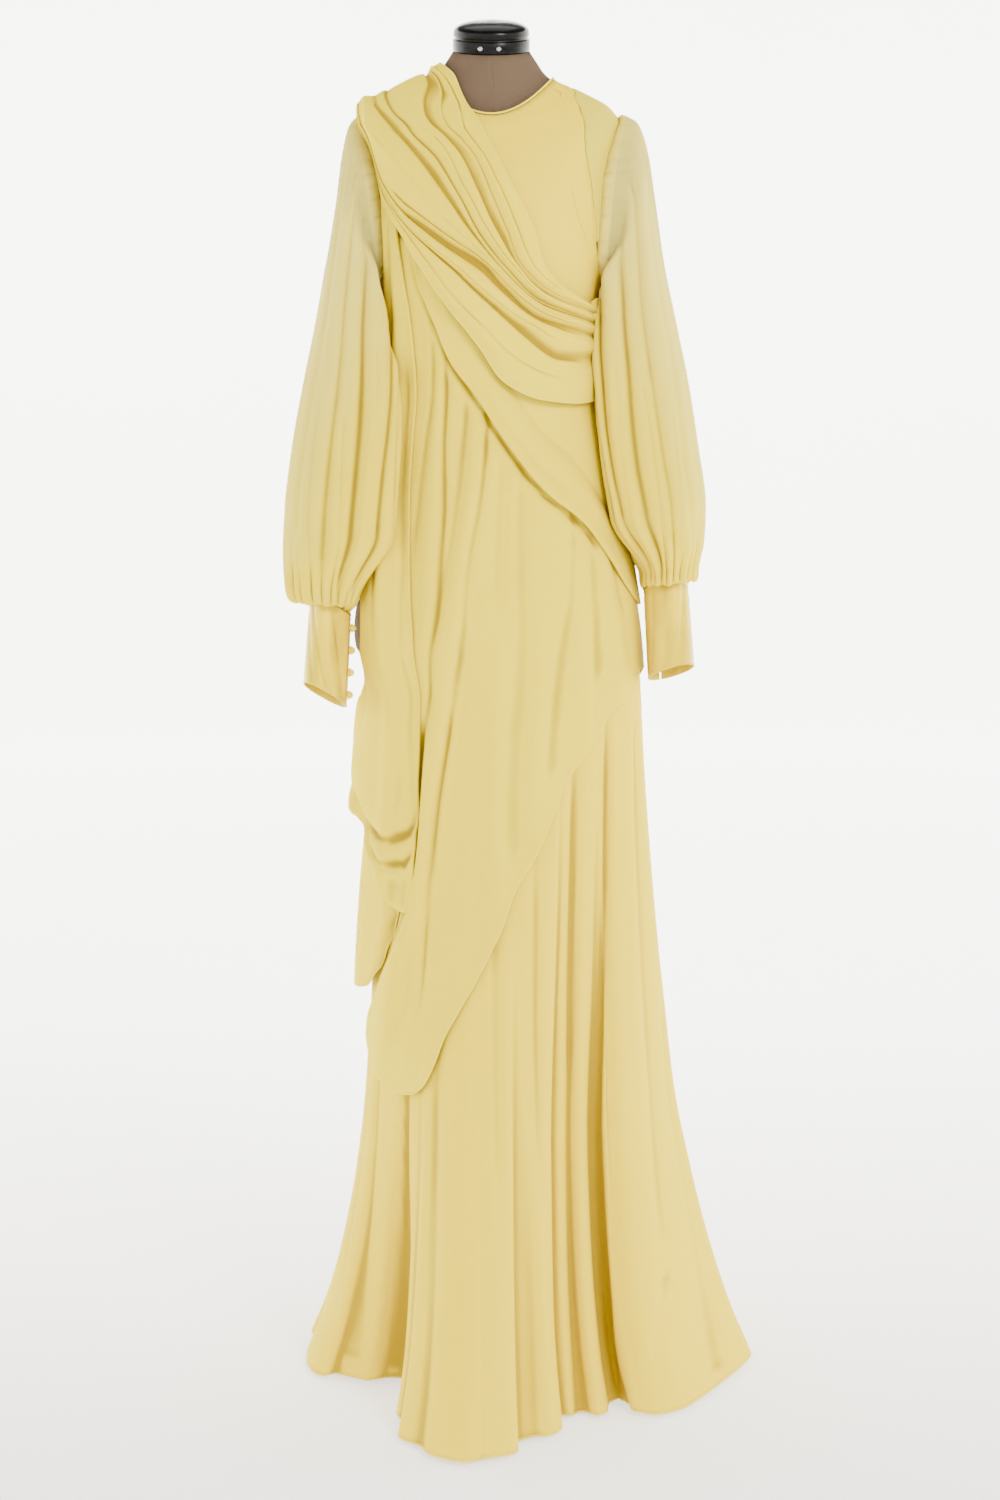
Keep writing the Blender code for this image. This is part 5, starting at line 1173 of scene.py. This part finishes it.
def overlay():
    """Draped overlay panels: chart grids between their four edges, lifted by their folds."""
    chart = lifted(patch(OVER_TOP, OVER_LOBE, OVER_LEFT, OVER_HEM, 150, 140), overlay_lift, FRONT_FOLDS)
    edge = np.concatenate([chart[:, 0], chart[-1, 1:], chart[-2::-1, -1]])
    panel("overlay_front_panel", laid(chart), "overlay_front", "draped", ["skirt_front_panel"],
          "overlay chiffon", hem=(*edge.T, 520))
    rows = np.concatenate([np.linspace(0, .66, 50, endpoint=False), np.linspace(.66, 1, 90)])
    chart = lifted(patch([FALL_LEFT[0], FALL_RIGHT[0]], FALL_HEM, FALL_LEFT, FALL_RIGHT, 72, rows),
                   fall_lift, FALL_FOLDS)
    chart = turned_under(chart, .0050, .020)
    chart = turned_under(chart.swapaxes(0, 1), .0016, .008).swapaxes(0, 1)
    panel("overlay_side_fall_panel", laid(chart), "overlay_side_fall", "draped", ["overlay_front_panel"],
          "overlay chiffon", FINE_CLOTH, flared=True)
    chart = lifted(patch(BACK_TOP, BACK_HEM, BACK_LEFT, [BACK_TOP[-1], BACK_HEM[-1]], 126, 92),
                   back_lift, BACK_FOLDS)
    edge = np.concatenate([chart[:, 0], chart[-1, 1:]])
    panel("overlay_back_panel", laid(chart)[:, ::-1], "overlay_back", "draped",
          ["skirt_back_left_panel"], hem=(*edge.T, 480))


def wrap():
    """Hip wrap: chart grid between its hidden top and its folded lower edge."""
    grid = patch(WRAP_TOP, WRAP_EDGE, [WRAP_TOP[0], WRAP_EDGE[0]],
                 [WRAP_TOP[-1], (89.4, 1.08), WRAP_EDGE[-1]], 130, 60)
    chart = turned_under(lifted(grid, wrap_lift, WRAP_FOLDS), .0017, .012)
    panel("hip_wrap_panel", laid(chart), "hip_wrap", "draped", ["overlay_front_panel"],
          "overlay chiffon", FINE_CLOTH)


def sash_lines():
    """The sash's fold lines as (degrees, level, lift) rows, from the right side at the back,
    over the shoulder, to the right side at the front."""
    front_share = np.linspace(0, 1, 92)
    back_share = np.linspace(0, 1, 50) ** 1.25
    high = along(SASH_BACK_HIGH, back_share)
    low = along(SASH_BACK_LOW, back_share)
    lines = []
    for k, (name, level, lift, front) in enumerate(SASH):
        ahead = along([(-90, level, lift)] + front, front_share)
        even = k / (len(SASH) - 1)
        packed = (SASH[0][1] - level) / (SASH[0][1] - SASH[-1][1])
        weight = packed + (even - packed) * soft(back_share / .5)
        crest = "crease" not in name and "edge" not in name
        lifts = (.0145, .0145, .0125) if crest else (.009, .0085, .0085)
        rise = eased([0, .12, .3, .6, 1], [lift, lift + .003, *lifts], back_share)
        behind = np.column_stack([high + (low - high) * weight[:, None], rise])
        lines.append(np.concatenate([behind[:0:-1], ahead]))
    return np.asarray(lines), len(back_share) - 1


def sash():
    """Pleated shoulder sash: a smooth surface through its fold lines, with finer knife pleats,
    each a steep bell on one side, a gentle one on the other and a narrow trough at its foot."""
    lines, behind = sash_lines()
    across = np.linspace(0, len(lines) - 1, 231)
    grid = eased(np.arange(len(lines)), lines, across)
    place = np.linspace(-1, 0, behind + 1)[:-1]
    place = np.concatenate([place, np.linspace(0, 1, lines.shape[1] - behind)])
    lift = grid[..., 2]
    for stations, depth, steep, gentle in SASH_PLEATS:
        rows = np.asarray(stations, float)
        off = across[:, None] - eased(rows[:, 0], rows[:, 1], place)[None]
        share = np.clip((place - rows[0, 0]) / (rows[-1, 0] - rows[0, 0]), 0, 1)
        fade = soft(share / .12) * soft((.93 - place) / .16)
        crest = np.exp(-(off / np.where(off < 0, steep, gentle)) ** 2)
        lift = lift + depth * fade[None] * (crest - .45 * np.exp(-((off + 2 * steep) / steep) ** 2))
    lift = np.maximum(lift, .0032)
    made = piece("sash_drape", cloth(grid[..., 0], grid[..., 1], lift)[::-1, ::-1], "overlay chiffon",
                 "gown_chiffon", wall=thickness())
    edge = [hem_roll(f"sash_{side}_edge", grid[k, :, 0], grid[k, :, 1], lift[k], 420)
            for side, k in (("neck", 0), ("arm", -1))]
    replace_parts(sewn(made, with_pieces=edge + sash_gathers()), "sash")


def sash_gathers():
    """Stitched end of the sash at the right side: four short pleats fanned out above it and three
    little rolled bands round it, each a cord that bows between its ends."""
    pleats = []
    for k, (deg, top, foot, lean) in enumerate(GATHER_PLEATS):
        share = np.linspace(0, 1, 24)
        level = top + (foot - top) * share
        degrees = deg + lean * share
        lift = .0045 + .0050 * np.sin(np.pi * np.clip(share * .62 + .1, 0, 1))
        pleats.append(roll(f"sash_gather_pleat_{k + 1}", cloth(degrees, level, lift),
                           outward(np.radians(degrees), level), .0021, "silk chiffon", "gown_chiffon"))
    for k, (left, right, level, rise, radius) in enumerate(GATHER_BANDS):
        share = np.linspace(0, 1, 40)
        degrees = left + (right - left) * share
        high = level + rise * share**2
        lift = .0060 + .0085 * np.sin(np.pi * (share * .8 + .12))
        pleats.append(roll(f"sash_gather_band_{k + 1}", cloth(degrees, high, lift),
                           outward(np.radians(degrees), high), radius, "silk chiffon", "gown_chiffon",
                           sides=12))
    return pleats


def sleeve_rings(table, side, turn):
    """Rings of a sleeve: the middle of each row, plus cosine times half its width, plus sine
    times its half depth to the front. Before them comes a ring just past the armhole's edge,
    under the bodice."""
    outer_x, outer_z, inner_x, inner_z, y, deep = np.asarray(table, float).T
    none = np.zeros(len(y))
    mid = np.stack([(outer_x + inner_x) / 2, y, (outer_z + inner_z) / 2], -1)
    arm = np.stack([(outer_x - inner_x) / 2, none, (outer_z - inner_z) / 2], -1)
    fore = np.stack([none, -deep, none], -1)
    rings = (mid[:, None] + np.cos(turn)[None, :, None] * arm[:, None]
             + np.sin(turn)[None, :, None] * fore[:, None])
    hole = np.asarray(ARMHOLE)
    degrees = side * np.concatenate([hole[::-1, 1], hole[1:, 2]])
    level = np.concatenate([hole[::-1, 0], hole[1:, 0]])
    dist = covered(np.column_stack([degrees * DEGREE_STEP, level]))
    share = turn / (2 * np.pi) * dist[-1]
    middle = side * 90
    degrees = middle + (np.interp(share, dist, degrees) - middle) * ARMHOLE_SHARE
    level = ARMHOLE_MIDDLE + (np.interp(share, dist, level) - ARMHOLE_MIDDLE) * ARMHOLE_SHARE
    hem = cloth(degrees, level, np.full(SLEEVE_COLUMNS, ARMHOLE_LIFT))
    return np.concatenate([hem[None], rings])


def clear_of_body(points, side, room):
    """Points moved out sideways on to the gown's widest ring at that level, plus some room."""
    rows = np.asarray(BODY, float)
    left, right, front, back = [eased(rows[:, 0], rows[:, k], points[..., 2]) for k in (1, 2, 3, 4)]
    wide = (right if side > 0 else left) + room
    deep = np.where(points[..., 1] < 0, front, back) + room
    limit = wide * np.sqrt(np.clip(1 - (points[..., 1] / deep) ** 2, 0, 1))
    moved = points.copy()
    moved[..., 0] = side * np.maximum(side * points[..., 0], limit)
    return moved


def cuff_frame(spec, side):
    """Middle line of a cuff and its two half-axes: sideways and to the front."""
    top, foot, wide, deep, rolled, tilt, _ = spec
    rolled = np.radians(rolled)
    tilt = np.radians(tilt)
    across = np.array([side * np.cos(rolled), 0, np.sin(rolled)])
    fore = np.array([0, -np.cos(tilt), np.sin(tilt)])
    return np.asarray(top), np.asarray(foot), across * wide, fore * deep


def sleeve(name, table, spec, side, room, folds):
    """Bishop sleeve: rings lofted from the armhole to the cuff, then moved out and in by long folds, by
    gathers at its head and by finer gathers into the cuff."""
    turn = np.linspace(0, 2 * np.pi, SLEEVE_COLUMNS, endpoint=False)
    rings = sleeve_rings(table, side, turn)
    top, foot, across, fore = cuff_frame(spec, side)
    down = (foot - top) / np.linalg.norm(foot - top)
    last = top - down * CUFF_GAP + np.cos(turn)[:, None] * across + np.sin(turn)[:, None] * fore
    station = covered(np.concatenate([rings.mean(1), [last.mean(0)]]))
    station /= station[-1]
    shares = np.concatenate([np.linspace(0, .9, 78, endpoint=False), np.linspace(.9, 1, 22)])
    held = clear_of_body(rings[2:], side, room)
    rings = np.concatenate([rings[:2], held, last[None]])
    grid = eased(station, rings, shares)
    share = shares[:, None]
    degrees = np.degrees(turn)[None]
    place, wide, inwards, forwards = SLEEVE_LAP
    lap = (np.exp(-((degrees - place) / wide) ** 2) * soft((share - .03) / .09)
           * soft((.97 - share) / .16))
    grid[..., 0] -= side * inwards * lap
    grid[..., 1] -= forwards * lap
    out = .5 + .5 * np.cos(turn)[None]
    grid[..., 2] += SLEEVE_CROWN * out**6 * soft(share / .008) * np.exp(-((share - .01) / .03) ** 2)
    away = -side * facing(grid, True)
    push = np.zeros(grid.shape[:2])
    for at_top, at_foot, depth, wide, beside, low, high in folds:
        line = at_top + (at_foot - at_top) * share + 2.5 * np.sin(7 * share + at_top)
        off = (degrees - line + 180) % 360 - 180
        fade = soft((share - low) / .05) * soft((high - share) / .10)
        ridge = np.exp(-((off - beside) / (.8 * abs(beside))) ** 2)
        push += depth * fade * (.45 * ridge - np.exp(-(off / wide) ** 2))
    near = np.exp(-((1 - share) / .10) ** 2) * (1 - soft((share - .975) / .02))
    fan = np.exp(-((1 - share) / .22) ** 2)
    head = np.exp(-(share / (.10 + .05 * np.sin(5 * degrees))) ** 2) * soft(share / .012)
    angle = turn[None]
    for reach, (height, count, wander, pace, start) in zip((near, fan, head), SLEEVE_GATHERS):
        swing = count * angle + wander * np.sin(pace * angle + start)
        push += height * reach * (abs(np.sin(swing)) - .6)
    push *= soft(share / .010)
    grid = grid + away * push[..., None]
    hold = (soft((share - .04) / .12) * soft((.985 - share) / .02))[..., None]
    grid = grid + (clear_of_body(grid, side, room - .003) - grid) * hold
    # How much cloth lies behind a point, 0 to 1: more towards the body, at the cuff, at the head's seam and
    # in the valleys; the deeper colour this gives towards the body and in the valleys is partly painted
    # shade. Near the head the colour stays grey-green, painted shade seen through the single layer.
    dense = (.16 + .34 * soft((share - .20) / .60) + .62 * (1 - out) * soft((share - .04) / .22)
             + .45 * near + .8 * (1 - soft(share / .03)) - 60 * np.minimum(push, 0))
    seen_through_shade = .05 + .16 * out + .6 * (1 - soft(share / .025))
    dense = np.clip(seen_through_shade + (dense - seen_through_shade) * soft((share - .01) / .14), 0, 1)
    panel(f"{name}_cloth", grid[:, ::-side], name, "gathered", [f"{name.replace('sleeve', 'cuff')}_band"],
          "sheer chiffon", FINE_CLOTH, closed=True, dense=dense[:, ::-side])


def cuff(name, spec, side, wrinkles):
    """Charmeuse cuff: rings of the cuff's frame, wider towards the foot, with slanting pulls,
    a stitched fold at both edges, four covered ball buttons beside the slit and their loops."""
    top, foot, across, fore = cuff_frame(spec, side)
    down = (foot - top) / np.linalg.norm(foot - top)
    round_from_slit = np.linspace(0, 360 - 2 * SLIT_HALF, 150)
    turn = np.radians(spec[6] + SLIT_HALF + round_from_slit)[None, :, None]
    share = np.linspace(0, 1, 62)[:, None, None]
    grid = top + (foot - top) * share + ((np.cos(turn) * across + np.sin(turn) * fore)
                                         * (1 + CUFF_FLARE * share))
    away = -side * facing(grid)
    along_it = share[..., 0]
    push = -STITCH_DEPTH * sum(np.exp(-((along_it - at) / STITCH_WIDTH) ** 2) for at in STITCHES)
    for start, end, depth, wide in wrinkles:
        line = start + (end - start) * along_it
        off = (np.degrees(turn[..., 0]) - line + 180) % 360 - 180
        fade = soft(along_it / .1) * soft((1 - along_it) / .1)
        push = push + depth * np.exp(-(off / wide) ** 2) * fade
    grid = grid + away * push[..., None]
    made = piece(f"{name}_band", grid[:, ::-side], "silk charmeuse", "cuff_charmeuse", wall=CUFF_WALL)
    slit = np.radians(spec[6])
    out = np.cos(slit) * across + np.sin(slit) * fore
    unit = out / np.linalg.norm(out)
    sideways = np.cross(down, unit)
    pieces = []
    for k, share in enumerate(BUTTON_SHARES):
        spot = top + (foot - top) * share + out * (1 + CUFF_FLARE * share)
        spot = spot + unit * (BUTTON_RADIUS + BUTTON_GAP)
        bend = np.linspace(np.pi * .02, np.pi * .98, 17)
        ball = np.stack([np.sin(bend) * BUTTON_RADIUS, np.cos(bend) * BUTTON_RADIUS], -1)
        button = lathe(f"{name}_ball_button_{k + 1}", ball, 28, "silk charmeuse", "cuff_charmeuse", spot)
        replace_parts(button, f"{name}_button_{k + 1}")
        arc = np.linspace(-np.pi * .5, np.pi * .5, 20)[:, None]
        base = spot - unit * (BUTTON_RADIUS * .55)
        bow, back, half = LOOP_BOW
        path = base - side * sideways * (np.cos(arc) * bow - back) + down * np.sin(arc) * half
        pieces.append(roll(f"{name}_loop_{k + 1}", path, unit, LOOP_RADIUS, "silk charmeuse",
                           "cuff_charmeuse", sides=6))
    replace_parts(sewn(made, with_pieces=pieces), name)


def backdrop(colour, floor_radius=7.0, wall_radius=9.0, tall=7.0):
    """Pale studio floor that curves up into a round wall: a profile of floor, quarter circle and
    wall turned round Z."""
    bend = np.linspace(0, np.pi / 2, 16)
    run = wall_radius - floor_radius
    radius = np.concatenate([[.02, 1.0, 3.0, 5.0], floor_radius + run * np.sin(bend), [wall_radius]])
    height = np.concatenate([[0, 0, 0, 0], run * (1 - np.cos(bend)), [tall]])
    turn = np.linspace(0, 2 * np.pi, 96, endpoint=False)
    rings = np.stack([radius[:, None] * np.cos(turn), radius[:, None] * np.sin(turn),
                      np.repeat(height[:, None], 96, 1)], -1)
    index = np.arange(rings.shape[0] * 96).reshape(-1, 96)
    after = np.roll(index, -1, 1)
    quads = np.stack([index[:-1], after[:-1], after[1:], index[1:]], -1).reshape(-1, 4).tolist()
    mesh = bpy.data.meshes.new("studio_floor")
    mesh.from_pydata(rings.reshape(-1, 3).tolist(), [], quads + [index[0].tolist()])
    mesh.shade_smooth()
    look, tree, shader = material("matt studio paint", .9, Specular_IOR_Level=.1)
    place = node(tree, "ShaderNodeTexCoord")
    cloudy = node(tree, "ShaderNodeTexNoise", {"Scale": .6, "Detail": 2.0}, Vector=place.outputs["Object"])
    pale = [min(1.0, c * 1.02) for c in colour]
    tint = node(tree, "ShaderNodeValToRGB", {"stops": [(.3, colour), (.7, pale)]}, Fac=cloudy.outputs[0])
    for socket in ("Base Color", "Emission Color"):
        tree.links.new(tint.outputs[0], shader.inputs[socket])
    depth = node(tree, "ShaderNodeSeparateXYZ", i0=place.outputs["Object"])
    glow = node(tree, "ShaderNodeMapRange", {"interpolation_type": "SMOOTHSTEP", "1": -1.5, "2": 2.5,
                                             "3": .40, "4": PAPER_GLOW}, i0=depth.outputs["Y"])
    tree.links.new(glow.outputs[0], shader.inputs["Emission Strength"])
    mesh.materials.append(look)
    made = bpy.data.objects.new("studio_floor", mesh)
    bpy.context.scene.collection.objects.link(made)


def turned_to(made, spot, aim):
    """Object placed at a spot, turned so that its -Z points at the aim."""
    made.location = spot
    made.rotation_euler = (Vector(aim) - Vector(spot)).to_track_quat("-Z", "Y").to_euler()
    bpy.context.scene.collection.objects.link(made)
    return made


def soft_light(name, spot, size, power, colour):
    """Square area light at a spot, turned towards the point it lights."""
    lamp = bpy.data.lights.new(name, "AREA")
    lamp.shape = "SQUARE"
    lamp.size = size
    lamp.energy = power
    lamp.color = linear(colour)
    turned_to(bpy.data.objects.new(name, lamp), spot, LIT_POINT)


def studio(floor, light):
    """Floor, soft lights, even surrounding light and the camera at the photo's height."""
    backdrop(floor)
    for name, spot, size, power, colour in LIGHTS:
        soft_light(name, spot, size, power * light, colour)
    world = bpy.data.worlds.new("studio light")
    bpy.context.scene.world = world
    world.use_nodes = True
    back = world.node_tree.nodes["Background"]
    back.inputs["Color"].default_value = linear("#FFFDF8", 1)
    back.inputs["Strength"].default_value = AMBIENT * light
    lens = bpy.data.cameras.new("view")
    lens.lens = VIEW_LENS
    lens.sensor_width = VIEW_SENSOR
    lens.sensor_height = VIEW_SENSOR
    lens.clip_end = 40
    bpy.context.scene.camera = turned_to(bpy.data.objects.new("view", lens), VIEW_FROM, VIEW_TO)


class GownColours(bpy.types.PropertyGroup):
    """Colours of the gown and the room that a user may change before the pieces are made."""
    lit: FloatVectorProperty(name="Chiffon", description="Chiffon where light falls on one layer",
                             subtype="COLOR", default=linear("#E9CC0D"), min=0, max=1)
    # The colour in folds is painted shade, reached through the fold depth and ambient occlusion.
    deep: FloatVectorProperty(name="Chiffon in folds", description="Chiffon deep in a fold",
                              subtype="COLOR", default=linear("#B09206"), min=0, max=1)
    floor: FloatVectorProperty(name="Floor", description="Matt paint of the studio floor",
                               subtype="COLOR", default=linear("#F4F3F0"), min=0, max=1)
    light: FloatProperty(name="Light", description="Strength of all the studio lights together",
                         default=1.0, min=.1, max=4)


class GownSizes(bpy.types.PropertyGroup):
    """Sizes of the cloth that a user may change before the pieces are made."""
    wall: FloatProperty(name="Cloth", description="Thickness of the chiffon wall", unit="LENGTH",
                        default=.0011, min=.0006, max=.0015)
    hem: FloatProperty(name="Rolled hem", description="Radius of the hand-rolled hems", unit="LENGTH",
                       default=.0008, min=.0004, max=.0014)


class GOWN_OT_form(bpy.types.Operator):
    """Makes the linen dress form with its neck cap, screws, pole and round base"""
    bl_idname = "gown.form"
    bl_label = "Dress form"

    def execute(self, context):
        dress_form()
        return {"FINISHED"}


class GOWN_OT_bodice(bpy.types.Operator):
    """Makes the bodice: front, two armhole panels, two backs and the bound neck"""
    bl_idname = "gown.bodice"
    bl_label = "Bodice"

    def execute(self, context):
        bodice()
        return {"FINISHED"}


class GOWN_OT_skirt(bpy.types.Operator):
    """Makes the three skirt panels with their fluted, rolled hem"""
    bl_idname = "gown.skirt"
    bl_label = "Skirt"

    def execute(self, context):
        skirt()
        return {"FINISHED"}


class GOWN_OT_overlay(bpy.types.Operator):
    """Makes the draped overlay: front, side fall and back"""
    bl_idname = "gown.overlay"
    bl_label = "Draped overlay"

    def execute(self, context):
        overlay()
        return {"FINISHED"}


class GOWN_OT_wrap(bpy.types.Operator):
    """Makes the wrap that runs from the left breast to the right hip"""
    bl_idname = "gown.wrap"
    bl_label = "Hip wrap"

    def execute(self, context):
        wrap()
        return {"FINISHED"}


class GOWN_OT_sash(bpy.types.Operator):
    """Makes the pleated sash over the left shoulder and its gathered end"""
    bl_idname = "gown.sash"
    bl_label = "Shoulder sash"

    def execute(self, context):
        sash()
        return {"FINISHED"}


class GOWN_OT_sleeves(bpy.types.Operator):
    """Makes both sheer bishop sleeves, gathered at the armhole and into the cuff"""
    bl_idname = "gown.sleeves"
    bl_label = "Bishop sleeves"

    def execute(self, context):
        sleeve("sleeve_left", SLEEVE_LEFT, CUFF_LEFT, -1, .027, FOLDS_LEFT)
        sleeve("sleeve_right", SLEEVE_RIGHT, CUFF_RIGHT, 1, .0165, FOLDS_RIGHT)
        return {"FINISHED"}


class GOWN_OT_cuffs(bpy.types.Operator):
    """Makes both charmeuse cuffs with their ball buttons and loops"""
    bl_idname = "gown.cuffs"
    bl_label = "Buttoned cuffs"

    def execute(self, context):
        cuff("cuff_left", CUFF_LEFT, -1, PULLS_LEFT)
        cuff("cuff_right", CUFF_RIGHT, 1, PULLS_RIGHT)
        return {"FINISHED"}


class GOWN_OT_stage(bpy.types.Operator):
    """Makes the pale floor, the soft lights and the camera"""
    bl_idname = "gown.stage"
    bl_label = "Studio"

    def execute(self, context):
        settings = context.scene.gown_colours
        studio(settings.floor, settings.light)
        return {"FINISHED"}


class GOWN_PT_panel(bpy.types.Panel):
    """Lists the gown's settings and the pieces to make"""
    bl_idname = "GOWN_PT_panel"
    bl_label = "Chiffon gown"
    bl_space_type = "VIEW_3D"
    bl_region_type = "UI"
    bl_category = "Gown"

    def draw(self, context):
        column = self.layout.column()
        for settings in (context.scene.gown_colours, context.scene.gown_sizes):
            for name in type(settings).__annotations__:
                column.prop(settings, name)
        for step in STEPS:
            column.operator(step.bl_idname)


STEPS = (GOWN_OT_form, GOWN_OT_bodice, GOWN_OT_skirt, GOWN_OT_overlay, GOWN_OT_wrap, GOWN_OT_sash,
         GOWN_OT_cuffs, GOWN_OT_sleeves, GOWN_OT_stage)
CLASSES = (GownColours, GownSizes, *STEPS, GOWN_PT_panel)


def register():
    for item in CLASSES:
        bpy.utils.register_class(item)
    bpy.types.Scene.gown_colours = PointerProperty(type=GownColours)
    bpy.types.Scene.gown_sizes = PointerProperty(type=GownSizes)


def unregister():
    del bpy.types.Scene.gown_sizes
    del bpy.types.Scene.gown_colours
    for item in reversed(CLASSES):
        bpy.utils.unregister_class(item)


def main():
    register()
    for step in STEPS:
        group, name = step.bl_idname.split(".")
        getattr(getattr(bpy.ops, group), name)()


if __name__ == "__main__":
    main()
